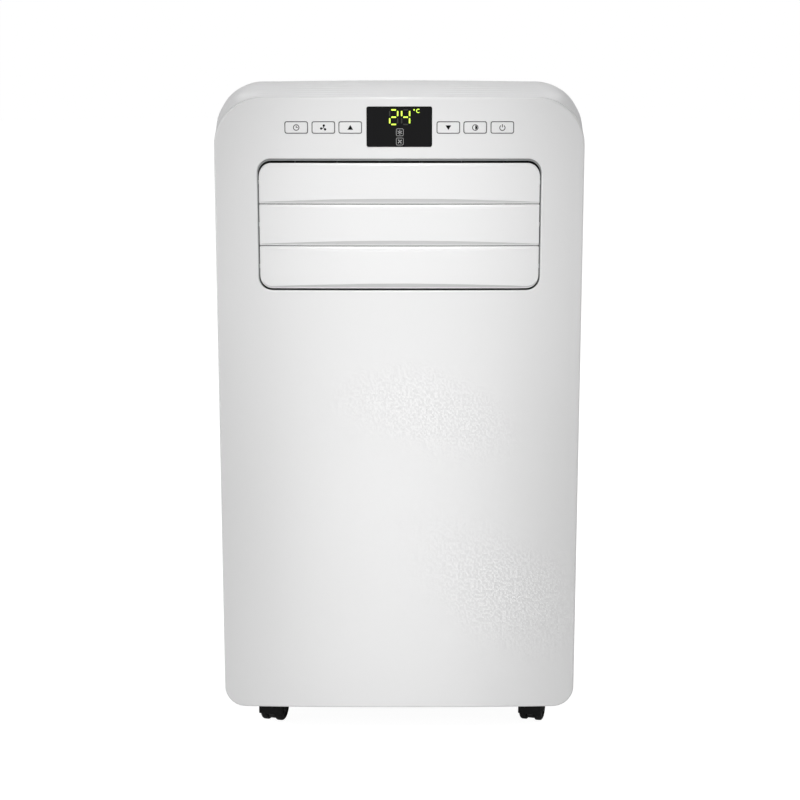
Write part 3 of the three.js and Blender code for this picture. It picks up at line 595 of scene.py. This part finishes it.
rear = [("rr", UPPER), ("rr", LOWER), ("c", (0, PORT_Z, 71.2, 72)), ("c", (*DRAIN_CAP, 7.6, 24)), ("c", (*DRAIN_PLUG, 6.8, 24)), ("c", (*GLAND, 8, 24))]
fo, fi = [], []
for kind, a in rear:
    rim = 0.8
    rings = [rear_hole(kind, a, Y_BACK - rim * (1 - math.cos(t)), rim * (1 - math.sin(t))) for t in (PI / 2 * k / 3 for k in range(4))]
    rings.append(rear_hole(kind, a, Y_BACK - 3, 0))
    h = m.loft(rings, cap=False)
    fo.append(h[0])
    fi.append(h[-1])
m.fill(oi[-1], fo, xz, lambda x, z: (x, Y_BACK, z), 16.0)
m.fill(ii[-1], fi, xz, lambda x, z: (x, Y_BACK - 3, z), 22.0)
# front edge and the lips of the open bottom
m.bridge(oi[0][:b0 + 1], ii[0][:b0 + 1], closed=False)
m.bridge(oi[0][b1:] + oi[0][:1], ii[0][b1:] + ii[0][:1], closed=False)
last_o = max(a for a in range(len(outer_st)) if outer_st[a][1] <= 165)
last_i = max(a for a in range(len(inner_st)) if inner_st[a][1] <= 165)
for col in (b0, b1):
    k = min(last_o, last_i)
    m.bridge([oi[a][col] for a in range(k + 1)], [ii[a][col] for a in range(k + 1)], closed=False)
m.bridge([oi[last_o][i] for i in range(b0, b1 + 1)], [ii[last_i][i] for i in range(b0, b1 + 1)], closed=False)
casing = make("casing_skin", m, CASE, "cabinet", ["rear_casing"])

# ------------------------------------------------------------------ outlet louvres
def slat(name, z0, z1, round_top, round_bottom, zp):
    """A bowed blade with a proud pillow face: an upward-facing bevel along its top, a downward one above a thin lip;
    the downward-facing faces get painted shade, a darker copy of the blade's white.
    """
    X, R = 162.7, 14.5
    t = [i / 40 for i in range(41)]
    core = [-(X - R) + 2 * (X - R) * k for k in t]
    ends = [X - R + R * math.sin(PI / 2 * k / 12) for k in range(1, 13)]
    xs = [-e for e in reversed(ends)] + core + ends
    m = Mesh()
    rings = []
    for x in xs:
        a = abs(x)
        drop = R - math.sqrt(max(R * R - max(a - (X - R), 0) ** 2, 0))
        zt = z1 - (drop if round_top else 0)
        zb = z0 + (drop if round_bottom else 0)
        q = 1 - (a / X) ** 2
        base = yf(x) + 3.1
        D = 0.9 + 2.5 * q
        h = zt - zb
        wt = min(1.6 + 4.6 * q, h * 0.3)
        wb = min(0.8 + 4.2 * q, h * 0.25)
        lip = 1.3
        end = max(0.0, (a - (X - 0.8)) / 0.8)
        e = 0.35 * end
        top = [(zt - e, 3.0), (zt - e, 0.6 + e), (zt - 0.35 - e, 0.15 + e), (zt - 0.8, e)]
        up = [(zt - 0.8 - (wt - 0.8) * s, -D * (0.5 - 0.5 * math.cos(PI * (s * 0.85 + 0.0))) / (0.5 - 0.5 * math.cos(PI * 0.85)) + e) for s in (0.2, 0.4, 0.6, 0.8, 1.0)]
        zf1, zf0 = zt - wt, zb + lip + wb
        mid = [(zf1 + (zf0 - zf1) * s, -D - 0.25 * q * math.sin(PI * s) + e) for s in (0.12, 0.3, 0.5, 0.7, 0.88)]
        down = [(zf0 - wb * s, -D * (1 - s) - 0.0 + e) for s in (0.0, 0.25, 0.5, 0.75, 1.0)]
        bot = [(zb + lip - 0.25, e), (zb + 0.45 + e, e), (zb + 0.12 + e, 0.2 + e), (zb + e, 0.6 + e), (zb + e, 3.0)]
        prof = top + up + mid + down + bot
        prof.append((zb + e + 0.8, 3.4))
        prof.append((zt - e - 0.8, 3.4))
        rings.append([(x, base + y - 0.0, z) for z, y in prof])
    m.loft(rings)
    z = zp
    for s in (-1, 1):
        a, b = sorted((s * 158.0, s * 162.3))
        bevelled(m, (a, -185.4, z - 5), (b, -170.5, z + 5), 0.8)
    lathe(m, [(0, 157), (2.6, 157), (2.6, 171.7), (2.3, 172), (0, 172)], 24, lambda p: (p[2], -175 + p[0], z + p[1]))
    lathe(m, [(0, 157), (2.6, 157), (2.6, 169.2), (2.3, 169.5), (0, 169.5)], 24, lambda p: (-p[2], -175 - p[0], z + p[1]))
    bevelled(m, (170.5, -177.5, z - 3), (174, -159.5, z + 3), 0.7)
    lathe(m, [(0, 173), (2, 173), (2, 178.2), (1.7, 178.5), (0, 178.5)], 20, lambda p: (p[2], -163 + p[0], z + p[1]))
    o = make(name, m, [SLAT, SLAT_PAINTED_SHADE], name.replace("_blade", ""), [name.replace("_blade", "")], sharp=28)
    # the blade's downward-facing faces take the darker copy of its white: painted shade
    for f in o.data.polygons:
        if f.normal.z < -0.2 and f.normal.y < -0.5 and abs(f.center.x) < 0.161:
            f.material_index = 1
    return o


# a ring behind the louvre opening, coloured mid-grey as painted shade for the shaded surround seen in the gaps round
# the blades
m = Mesh()
lip = lambda g, d: [(x, yf(x) + d, z) for x, z in rr(-163.5 - g, 163.5 + g, 554.6 - g, 705.6 + g * 1.9, 15.0 + g, n=10, nx=40, nz=14)]
ids = m.loft([lip(0.35, 3.3), lip(0, 3.6), lip(0, 5.6), lip(0.3, 5.9), lip(2.3, 5.9), lip(2.6, 5.6), lip(2.6, 3.6), lip(2.3, 3.3)], cap=False)
m.bridge(ids[-1], ids[0])
make("outlet_duct_lip_painted_shade", m, GREY_AND_GAP_SHADE, "cabinet", sharp=40)


slat("louver_upper_blade", 656.0, 702.9, True, False, 680.0)
slat("louver_middle_blade", 607.3, 655.1, False, False, 631.0)
slat("louver_lower_blade", 557.0, 606.4, False, True, 582.0)

# ------------------------------------------------------------------ display window and digits
def on_front(m, loops, y_off, thick, spacing=3.0, mat=0):
    """A thin raised plate on the bowed front, outlined by the first loop with the others as holes."""
    surf = lambda d: (lambda x, z: (x, yf(x) + y_off + d, z))
    f = [m.add([surf(0)(x, z) for x, z in lp]) for lp in loops]
    b = [m.add([surf(thick)(x, z) for x, z in lp]) for lp in loops]
    for p, q in zip(f, b):
        m.bridge(p, q, mat=mat)
    m.fill(f[0], f[1:], xz, surf(0), spacing, mat)
    m.fill(b[0], b[1:], xz, surf(thick), spacing, mat)


m = Mesh()
lens_out = lambda g, d: [(x, yf(x) + d, z) for x, z in rr(-DISP_X + 0.35 + g, DISP_X - 0.35 - g, DISP_Z0 + 0.35 + g, DISP_Z1 - 0.35 - g, 2.0 - g * 0.8, n=5, nx=14, nz=8)]
ids = m.loft([lens_out(0, 2.6)] + [lens_out(i, 0.25 + d) for i, d in quarter(0.6, 4)], cap=False)
m.fill(ids[-1], [], xz, lambda x, z: (x, yf(x) + 0.25, z), 6.0)
m.fill(ids[0], [], xz, lambda x, z: (x, yf(x) + 2.6, z), 9.0)
make("display_window", m, LENS, "cabinet", ["display_lens"])


def segment(cx, cz, w, t, vertical):
    """One bar of a digit, with pointed-off ends."""
    c = t * 0.32
    p = [(-w / 2, -t / 2 + c), (-w / 2 + c, -t / 2), (w / 2 - c, -t / 2), (w / 2, -t / 2 + c), (w / 2, t / 2 - c), (w / 2 - c, t / 2), (-w / 2 + c, t / 2), (-w / 2, t / 2 - c)]
    return [(cx + b, cz + a) if vertical else (cx + a, cz + b) for a, b in p]


DZ = (746.3, 764.9)
lit, dim = Mesh(), Mesh()
for x0, on in ((-12.1, "abged"), (1.6, "fgbc")):
    xl, xr, zb, zt = x0 + 1.1, x0 + 10.2, DZ[0] + 1.05, DZ[1] - 1.05
    zm, xc = (zb + zt) / 2, (xl + xr) / 2
    seg = {"a": (xc, zt, 0), "g": (xc, zm, 0), "d": (xc, zb, 0), "f": (xl, (zm + zt) / 2, 1), "b": (xr, (zm + zt) / 2, 1), "e": (xl, (zm + zb) / 2, 1), "c": (xr, (zm + zb) / 2, 1)}
    for k, (cx, cz, v) in seg.items():
        on_front(lit if k in on else dim, [segment(cx, cz, 6.0 if v else 5.6, 1.55, v)], 0.12, 0.1)
ring = lambda cx, cz, r, n=24: [(cx + r * math.cos(2 * PI * k / n), cz + r * math.sin(2 * PI * k / n)) for k in range(n)]
on_front(lit, [ring(17.0, 763.9, 0.85)], 0.12, 0.1)


def arc_band(cx, cz, r0, r1, a0, a1, n=24):
    t = [math.radians(a0 + (a1 - a0) * k / n) for k in range(n + 1)]
    return [(cx + r1 * math.cos(a), cz + r1 * math.sin(a)) for a in t] + [(cx + r0 * math.cos(a), cz + r0 * math.sin(a)) for a in reversed(t)]


on_front(lit, [arc_band(21.7, 762.7, 1.55, 2.35, 48, 312)], 0.12, 0.1)
make("digits_lit", lit, LED, "cabinet", sharp=30, weighted=False)
make("digits_unlit", dim, LED_DIM, "cabinet", sharp=30, weighted=False)
icons = Mesh()
for cz, kind in ((738.4, 0), (727.9, 1)):
    cx = 0.6
    on_front(icons, [rr(cx - 4.3, cx + 4.3, cz - 4.3, cz + 4.3, 1.7, n=6), rr(cx - 3.75, cx + 3.75, cz - 3.75, cz + 3.75, 1.15, n=6)], 0.12, 0.1)
    if kind == 0:  # a six-armed crystal, for cooling
        for k in range(3):
            a = PI / 2 + k * PI / 3
            d, q = (math.cos(a), math.sin(a)), (-math.sin(a), math.cos(a))
            on_front(icons, [[(cx + s * 2.9 * d[0] + w * 0.28 * q[0], cz + s * 2.9 * d[1] + w * 0.28 * q[1]) for s, w in ((-1, -1), (1, -1), (1, 1), (-1, 1))]], 0.1 - 0.01 * k, 0.12 + 0.01 * k)
            for s in (-1, 1):
                c = (cx + s * 2.1 * d[0], cz + s * 2.1 * d[1])
                on_front(icons, [ring(c[0], c[1], 0.55, 10)], 0.085 - 0.004 * k - 0.002 * s, 0.1)
    else:  # a fan of four petals
        for k in range(4):
            a = PI / 4 + k * PI / 2
            d, q = (math.cos(a), math.sin(a)), (-math.sin(a), math.cos(a))
            pts = [(0.5, -0.25), (1.6, -0.9), (2.6, -0.7), (3.0, 0.1), (2.4, 0.55), (1.4, 0.35), (0.5, 0.3)]
            on_front(icons, [[(cx + u * d[0] + v * q[0], cz + u * d[1] + v * q[1]) for u, v in pts]], 0.12, 0.1)
        on_front(icons, [ring(cx, cz, 0.7, 14)], 0.1, 0.12)
make("display_icons", icons, ICON, "cabinet", sharp=30, weighted=False)

# ------------------------------------------------------------------ keys, with their printed symbols
def key_front(x):
    return yf(x) - 0.1


def symbol(kind, cx, cz):
    """Plain pictograms, each a list of outlines (the first is the shape, the others its holes)."""
    out = []
    if kind in ("up", "down"):
        s = 1 if kind == "up" else -1
        p = [(-3.3, -2.5), (3.3, -2.5), (0, 2.9)]
        out.append([[(cx + a, cz + s * b) for a, b in p][:: s]])
    elif kind == "timer":
        out.append([ring(cx, cz, 3.6, 32), ring(cx, cz, 2.75, 32)])
        out.append([[(cx - 0.4, cz - 0.4), (cx + 0.4, cz - 0.4), (cx + 0.4, cz + 2.2), (cx - 0.4, cz + 2.2)]])
        out.append([[(cx + 0.45, cz - 0.4), (cx + 1.9, cz - 0.4), (cx + 1.9, cz + 0.4), (cx + 0.45, cz + 0.4)]])
    elif kind == "fan":
        for k in range(3):
            a = PI / 2 + k * 2 * PI / 3
            d, q = (math.cos(a), math.sin(a)), (-math.sin(a), math.cos(a))
            pts = [(1.0, -0.3), (1.5, -1.5), (2.6, -2.0), (3.7, -1.5), (4.0, -0.4), (3.5, 0.5), (2.4, 0.8), (1.0, 0.45)]
            out.append([[(cx + u * d[0] + v * q[0], cz - 0.3 + u * d[1] + v * q[1]) for u, v in pts]])
        out.append([ring(cx, cz - 0.3, 0.75, 14)])
    elif kind == "mode":
        out.append([ring(cx, cz, 3.6, 32), ring(cx, cz, 2.75, 32)])
        out.append([[(cx + 2.35 * math.sin(t), cz + 2.35 * math.cos(t)) for t in (PI * k / 16 for k in range(17))][::-1]])
    else:
        out.append([arc_band(cx, cz - 0.3, 2.6, 3.5, 125, 415, 30)])
        out.append([[(cx - 0.45, cz + 0.2), (cx + 0.45, cz + 0.2), (cx + 0.45, cz + 3.8), (cx - 0.45, cz + 3.8)]])
    return out


gasket = Mesh()
for kind, cx in BUTTONS:
    box_of = lambda g, r: rr(cx - BTN_W / 2 + g, cx + BTN_W / 2 - g, BTN_Z - BTN_H / 2 + g, BTN_Z + BTN_H / 2 - g, r, n=5, nx=5, nz=3)
    on_front(gasket, [box_of(-0.1, 2.5), box_of(0.83, 1.9)], 0.9, 0.4)
make("key_gaskets", gasket, GASKET, "cabinet", sharp=30, weighted=False)
for kind, cx in BUTTONS:
    m = Mesh()
    w, h = BTN_W / 2 - 0.95, BTN_H / 2 - 0.95

    def loop(g, d, grow=0.0, w=w, h=h, cx=cx):
        return [(x, yf(x) + d, z) for x, z in rr(cx - w + g - grow, cx + w - g + grow, BTN_Z - h + g - grow, BTN_Z + h - g + grow, max(1.9 - g, 0.4) + grow, n=5, nx=5, nz=3)]

    rings = [loop(0, 4.7, 1.9), loop(0, 3.6, 1.9), loop(0, 3.45, 0.6), loop(0, 3.3)] + [loop(i, -0.1 + d) for i, d in quarter(0.45, 4)]
    ids = m.loft(rings, cap=False)
    m.fill(ids[-1], [], xz, lambda x, z: (x, key_front(x), z), 4.0)
    m.fill(ids[0], [], xz, lambda x, z: (x, yf(x) + 4.7, z), 6.0)
    lathe(m, [(0, 0), (2.2, 0), (2.2, -178 - yf(cx) - 4.5), (1.8, -178 - yf(cx) - 4.2), (0, -178 - yf(cx) - 4.2)], 16,
          lambda p, cx=cx: (cx + p[0], yf(cx) + 4.2 + p[2], BTN_Z - p[1]))
    make("key_" + kind, m, KEY, "key_" + kind, ["button_" + kind])
    ink = Mesh()
    for i, loops in enumerate(symbol(kind, cx, BTN_Z)):
        on_front(ink, loops, -0.14 - 0.002 * i, 0.08, spacing=2.0)
    make("mark_" + kind, ink, INK, "key_" + kind, sharp=30, weighted=False)

# ------------------------------------------------------------------ hand grips in the sides
for s, node in ((1, "handle_right"), (-1, "handle_left")):
    m = Mesh()
    rings = []

    def ringx(grow, depth, s=s):
        return [(s * (HALF_W - depth), y, z) for y, z in rr(HANDLE["y0"] - grow, HANDLE["y1"] + grow, HANDLE["z0"] - grow, HANDLE["z1"] + grow, max(10 + grow, 1.0), n=9, nx=10, nz=3)]

    for g, d in ((4.6, 5.4), (4.6, 3.6), (4.2, 3.4), (-0.4, 3.3), (-0.4, 0.9), (-0.55, 0.45), (-0.9, 0.25), (-1.4, 0.3), (-1.8, 0.7), (-2.0, 1.4)):
        rings.append(ringx(g, d))
    for k in range(1, 6):
        rings.append(ringx(-2.0 - 0.3 * k, 1.4 + 4.4 * k))
    for k in range(1, 7):
        a = PI / 2 * k / 6
        rings.append(ringx(-3.5 - 7 * (1 - math.cos(a)), 24.0 + 7.4 * math.sin(a)))
    ids = m.loft(rings, cap=False)
    back = [ringx(-3.5 - 7, 33.9), ringx(-0.6, 31.0), ringx(-0.2, 28.0), ringx(-0.1, 8.0), ringx(0.2, 5.4)]
    bi = m.loft(back, cap=False)
    m.face(ids[-1])
    m.face(bi[0])
    m.bridge(bi[-1], ids[0])
    make(node + "_cup", m, CASE, "cabinet", [node], sharp=50)

# ------------------------------------------------------------------ rear grilles and filters
def grille(node, body, spec, rows):
    hx, z0, z1 = spec
    m = Mesh()
    fr = 11.0

    def ring_y(g, y, r):
        return [(x, y, z) for x, z in rr(-hx + 0.4 + g, hx - 0.4 - g, z0 + 0.4 + g, z1 - 0.4 - g, max(r - g, 0.6), n=7, nx=20, nz=16)]

    rings = [ring_y(0, Y_BACK - 3.4, 5.6)] + [ring_y(i, Y_BACK + 0.6 - 0.6 - 0.0 + (-d), 5.6) for i, d in quarter(0.9, 4)]
    rings += [ring_y(fr - i, Y_BACK - d, 5.6) for i, d in reversed(quarter(0.9, 4))]
    rings.append(ring_y(fr, Y_BACK - 3.4, 5.6))
    ids = m.loft(rings, cap=False)
    m.bridge(ids[-1], ids[0])
    # the rim that clips the filter in
    for a, b in (((-hx + 2, z0 + 2), (-hx + 5, z1 - 2)), ((hx - 5, z0 + 2), (hx - 2, z1 - 2)), ((-hx + 5.2, z0 + 2), (hx - 5.2, z0 + 5)), ((-hx + 5.2, z1 - 5), (hx - 5.2, z1 - 2))):
        bevelled(m, (a[0], Y_BACK - 16, a[1]), (b[0], Y_BACK - 3.3, b[1]), 0.5)
    # sloped bars
    pitch = (z1 - z0 - 2 * fr) / rows
    for k in range(rows):
        z = z0 + fr + (k + 0.5) * pitch
        prof = [(-3.6, 2.0), (-3.3, 0.7), (-0.8, -1.9), (-0.3, -2.2), (0.0, -1.8), (0.0, -0.7), (-0.3, -0.3), (-2.5, 2.2), (-3.0, 2.5), (-3.5, 2.5)]
        xs = [-hx + fr - 1.5, -hx / 3, 0, hx / 3, hx - fr + 1.5]
        m.loft([[(x, Y_BACK + y, z + q * 0.92) for y, q in prof] for x in xs])
    for x in (-hx / 2, 0, hx / 2):
        bevelled(m, (x - 1.6, Y_BACK - 3.6, z0 + fr - 2), (x + 1.6, Y_BACK - 0.45, z1 - fr + 2), 0.5)
    # finger notch at the top edge
    bevelled(m, (-17, Y_BACK - 3.0, z1 - fr - 5.5), (17, Y_BACK - 0.2, z1 - fr + 2.0), 1.2)
    make(node + "_frame", m, CASE, body, [node])


grille("upper_grille", "upper_grille", UPPER, 27)
grille("lower_grille", "lower_grille", LOWER, 27)

# ------------------------------------------------------------------ collar, drains, gland
m = Mesh()
prof = [(66.0, 172.4), (70.2, 172.2), (70.2, 178.3), (77.6, 178.3), (78.3, 178.8), (78.4, 180.8), (77.6, 182.2), (75.5, 182.8), (72.2, 183.2), (71.4, 184.0),
        (71.0, 185.2), (71.0, 188.6), (70.6, 189.6), (69.8, 190.0), (67.2, 190.0), (66.4, 189.6), (66.0, 188.8), (66.0, 184)]
lathe(m, prof, 96, lambda p: (p[0], p[2], PORT_Z - p[1]), closed_profile=True)
for k in range(4):
    a = PI / 4 + k * PI / 2
    c, s_ = math.cos(a), math.sin(a)
    bevelled(m, (-7, 184.6, 63.4), (7, 187.6, 66.4), 0.6, place=lambda p, c=c, s_=s_: (p[0] * c - p[2] * s_, p[1], PORT_Z + p[0] * s_ + p[2] * c))
make("hose_collar", m, BLACK, "cabinet", ["exhaust_collar"], sharp=30)


def knurled(name, node, cx, cz, r, y1, shaft, y0, mat):
    m = Mesh()
    n = 72
    ringk = lambda rad, y, amp: [(cx + (rad + amp * (0.5 + 0.5 * math.cos(2 * PI * k * 18 / n))) * math.cos(2 * PI * k / n), y, cz + (rad + amp * (0.5 + 0.5 * math.cos(2 * PI * k * 18 / n))) * math.sin(2 * PI * k / n)) for k in range(n)]
    prof = [(shaft - 0.8, y0, 0), (shaft, y0 + 1, 0), (shaft, 178.35, 0), (r - 0.8, 178.35, 0), (r - 0.5, 179.0, 0.4), (r - 0.5, y1 - 1.6, 0.4), (r - 1.4, y1 - 0.3, 0.2), (r - 2.6, y1, 0), (r - 4.0, y1, 0), (r - 4.6, y1 - 0.8, 0)]
    m.loft([ringk(*p) for p in prof])
    bevelled(m, (cx - r + 3.4, y1 - 1.5, cz - 1.1), (cx + r - 3.4, y1 - 0.05, cz + 1.1), 0.4)
    make(name, m, mat, node, [node], sharp=30)


knurled("drain_cap_knob", "drain_cap", *DRAIN_CAP, 11.0, 188.0, 7.0, 168.0, BLACK)
knurled("drain_plug_bung", "drain_plug", *DRAIN_PLUG, 9.0, 184.0, 6.0, 160.0, RUBBER)
m = Mesh()
lathe(m, [(3.6, 166), (7.3, 166.2), (7.3, 178.3), (10.9, 178.3), (11.4, 178.8), (11.3, 180.2), (10.7, 180.8), (10.7, 181.5), (10.2, 182.3), (9.4, 182.9), (4.2, 183.0), (3.7, 182.6)], 40,
      lambda p: (GLAND[0] + p[0], p[2], GLAND[1] - p[1]), closed_profile=True)
make("lead_gland", m, RUBBER, "cabinet", ["cord_gland"], sharp=30)

# ------------------------------------------------------------------ casters
for name, sx, sy, turn in CASTERS:
    a = math.radians(turn)
    c, s_ = math.cos(a), math.sin(a)
    world = lambda p, sx=sx, sy=sy, c=c, s_=s_: (sx + p[0] * c + p[1] * s_, sy - p[0] * s_ + p[1] * c, p[2])
    for side in (-1, 1):
        m = Mesh()
        w = lambda p, side=side, world=world: world((side * p[2], TRAIL + p[0], WHEEL_R + p[1]))
        R = WHEEL_R
        prof = [(3.6, 5.2), (8.0, 4.95), (R - 1.6, 4.95), (R - 0.5, 5.3), (R - 0.05, 6.2), (R, 7.0), (R, 10.6), (R - 0.1, 11.6), (R - 0.7, 12.8), (R - 1.8, 13.7), (R - 3.0, 14.2),
                (12.6, 14.2), (12.1, 13.6), (11.7, 12.6), (7.2, 12.3), (6.8, 12.9), (6.6, 14.0), (6.2, 14.3), (4.2, 14.3), (3.7, 14.0), (3.6, 13.4)]
        lathe(m, prof, 64, w, closed_profile=True)
        for k in range(5):  # spokes of the hub
            t = 2 * PI * k / 5
            ct, st = math.cos(t), math.sin(t)
            bevelled(m, (-0.9, 6.4, 12.0), (0.9, 12.3, 13.3), 0.3, place=lambda p, ct=ct, st=st, w=w: w((p[0] * ct - p[1] * st, p[0] * st + p[1] * ct, p[2])))
        side_n = "left" if side < 0 else "right"
        make(f"{name}_tyre_{side_n}", m, TYRE, f"{name}_wheel_{side_n}", [f"{name}_wheel_{side_n}"], sharp=35)
    m = Mesh()
    rings = []
    for k in range(25):
        t = math.radians(33 + 159 * k / 24)
        r0, r1, hw = 17.95, 19.6, 14.6
        sec = [(r0, -hw + 0.4), (r0, hw - 0.4), (r0 + 0.2, hw), (r1 - 0.9, hw), (r1 - 0.3, hw - 0.3), (r1, hw - 1.1), (r1, -hw + 1.1), (r1 - 0.3, -hw + 0.3), (r1 - 0.9, -hw), (r0 + 0.2, -hw)]
        rings.append([world((x, TRAIL + r * math.cos(t), WHEEL_R + r * math.sin(t))) for r, x in sec])
    m.loft(rings)
    web = []
    for x, r in ((-4.3, 18.4), (-3.8, 18.9), (3.8, 18.9), (4.3, 18.4)):
        pts = []
        for k in range(72):
            t = 2 * PI * k / 72 - PI / 2
            low = 0.5 - 0.5 * math.sin(t)  # 1 at the bottom, 0 at the top
            pts.append(((r - 3.6 * min(1.0, max(0.0, (low - 0.55) / 0.2))) * math.cos(t), (r - 3.6 * min(1.0, max(0.0, (low - 0.55) / 0.2))) * math.sin(t)))
        web.append([world((x, TRAIL + p, WHEEL_R + q)) for p, q in pts])
    m.loft(web)
    lathe(m, [(0, 30), (8.4, 30), (9, 30.8), (9, 39.2), (12.4, 39.2), (13, 39.8), (13, 42.2), (12.6, 42.8), (5, 42.8), (5, 61.2), (4.4, 62), (0, 62)], 40, world)
    lathe(m, [(0, -14.0), (2.4, -14.0), (3.0, -13.4), (3.0, 13.4), (2.4, 14.0), (0, 14.0)], 24, lambda p, world=world: world((p[2], TRAIL + p[0], WHEEL_R - p[1])))
    make(f"{name}_hood", m, CASTER, f"{name}_fork", [f"{name}_fork"], sharp=32)

# ------------------------------------------------------------------ the carried-over solids
KEEP = {
    "base_pan": (BLACK, 0.8), "display_board": (BOARD, 0.3), "outlet_duct": (DUCT, 0.4), "louver_link": (BLACK, 0.4), "louver_motor": (STEEL, 0.6),
    "vane_link": (BLACK, 0.4), "crossflow_wheel": (BLACK, 0.4), "crossflow_motor": (STEEL, 1.0), "upper_filter": (FILTER, 0.3), "lower_filter": (FILTER, 0.3),
    "evaporator": (COIL, 0.4), "drip_tray": (GREY_AND_GAP_SHADE, 0.6), "condenser": (COIL, 0.4), "exhaust_housing": (GREY_AND_GAP_SHADE, 0.6), "exhaust_wheel": (BLACK, 0.4), "exhaust_motor": (STEEL, 1.0),
    "compressor": (PAINT, 1.0), "suction_pipe": (COPPER, 0), "discharge_pipe": (COPPER, 0), "control_box": (STEEL, 0.8), "slinger_motor": (STEEL, 0.6), "slinger_wheel": (RUBBER, 0.4),
}
for i in range(1, 7):
    KEEP[f"vane_{i}"] = (DUCT, 0.35)
for n, (mt, b) in KEEP.items():
    o = frame["nodes"][n]
    o = o if hasattr(o, "material_slots") else bpy.data.objects[n]
    if not o.data.materials:
        o.data.materials.append(mt)
    for sl in o.material_slots:
        sl.material = mt
    if b:
        mod = o.modifiers.new("edges", "BEVEL")
        mod.width = b / 1000
        mod.segments = 2
        mod.limit_method = "ANGLE"
        mod.angle_limit = math.radians(40)
    w = o.modifiers.new("weighted", "WEIGHTED_NORMAL")
    w.keep_sharp = True

# ------------------------------------------------------------------ stage, light and camera
def stage_mat(name, col, emit):
    mt = bpy.data.materials.new(name)
    mt.use_nodes = True
    b = mt.node_tree.nodes["Principled BSDF"]
    b.inputs["Base Color"].default_value = (*col, 1)
    b.inputs["Roughness"].default_value = 0.9
    b.inputs["Specular IOR Level"].default_value = 0.1
    b.inputs["Emission Color"].default_value = (1, 1, 1, 1)
    b.inputs["Emission Strength"].default_value = emit
    return mt


n_f, r_f = 96, 14.0


def disc(name, z, mt):
    me = bpy.data.meshes.new(name)
    me.from_pydata([(r_f * math.cos(2 * PI * k / n_f), r_f * math.sin(2 * PI * k / n_f), z) for k in range(n_f)], [], [tuple(range(n_f))])
    o = bpy.data.objects.new(name, me)
    bpy.context.scene.collection.objects.link(o)
    me.materials.append(mt)
    o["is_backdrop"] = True
    return o


floor = disc("floor", 0.0, stage_mat("floor_white", (0.30, 0.30, 0.30), 0.95))
floor.visible_diffuse = floor.visible_glossy = floor.visible_shadow = False
bounce = disc("floor_bounce", -0.001, stage_mat("floor_pale", (0.55, 0.55, 0.55), 0.20))
bounce.visible_camera = False
# a plain white drum behind everything, which only the camera sees
me = bpy.data.meshes.new("backdrop")
h_f = 14.0
vs = [(r_f * math.cos(2 * PI * k / n_f), r_f * math.sin(2 * PI * k / n_f), z) for z in (-0.2, h_f) for k in range(n_f)]
me.from_pydata(vs, [], [(k, (k + 1) % n_f, n_f + (k + 1) % n_f, n_f + k) for k in range(n_f)] + [tuple(range(n_f, 2 * n_f))])
backdrop = bpy.data.objects.new("backdrop", me)
bpy.context.scene.collection.objects.link(backdrop)
me.materials.append(stage_mat("backdrop_white", (0.0, 0.0, 0.0), 1.0))
backdrop.visible_diffuse = backdrop.visible_glossy = backdrop.visible_transmission = backdrop.visible_shadow = False
backdrop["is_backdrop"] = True

world = bpy.data.worlds.new("studio")
bpy.context.scene.world = world
world.use_nodes = True
bg = world.node_tree.nodes["Background"]
bg.inputs["Color"].default_value = (1, 1, 1, 1)
bg.inputs["Strength"].default_value = 0.43


def area(name, loc, aim, w, h, power, spec=1.0):
    l = bpy.data.lights.new(name, "AREA")
    l.shape = "RECTANGLE"
    l.size, l.size_y = w, h
    l.energy = power
    l.specular_factor = spec
    o = bpy.data.objects.new(name, l)
    bpy.context.scene.collection.objects.link(o)
    o.location = loc
    o.rotation_euler = (Vector(aim) - Vector(loc)).to_track_quat("-Z", "Y").to_euler()
    o.visible_camera = False
    return o


def spot(name, loc, aim, power, angle=17.0, soft=0.12):
    l = bpy.data.lights.new(name, "SPOT")
    l.energy = power
    l.spot_size = math.radians(angle)
    l.spot_blend = 1.0
    l.shadow_soft_size = soft
    o = bpy.data.objects.new(name, l)
    bpy.context.scene.collection.objects.link(o)
    o.location = loc
    o.rotation_euler = (Vector(aim) - Vector(loc)).to_track_quat("-Z", "Y").to_euler()
    o.visible_camera = False
    return o


spot("front_spot_low", (0, -1.9, 2.1), (0, -0.19, 0.0), 62)
spot("front_spot_high", (0, -1.9, 2.1), (0, -0.19, 0.62), 92)
spot("front_spot_foot", (0, -1.9, 2.1), (-0.01, -0.19, 0.04), 42, 9.5)
area("front_panel_light", (-0.006, -0.39, 0.41), (-0.006, 0, 0.41), 0.32, 0.80, 0.34, 0.0)
area("left", (-3, -0.5, 1.0), (0, 0, 0.5), 2.5, 2.0, 22)
area("right", (3, -0.5, 1.0), (0, 0, 0.5), 2.5, 2.0, 6)
area("top_back", (0, 1.6, 2.2), (0, 0, 0.75), 2.0, 1.0, 14)

cam = bpy.data.cameras.new("camera")
cam.sensor_width = 36.0
cam.lens = 1808 / 800 * 36
cam.clip_end = 60
co = bpy.data.objects.new("camera", cam)
bpy.context.scene.collection.objects.link(co)
co.location = (0.0, -0.178 - 2.107, 0.865)
co.rotation_euler = (PI / 2 - math.radians(11.88), 0, 0)
cam.shift_x = (400 - 399.3) / 800
bpy.context.scene.camera = co
bpy.context.scene.view_settings.view_transform = "Standard"

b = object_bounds()
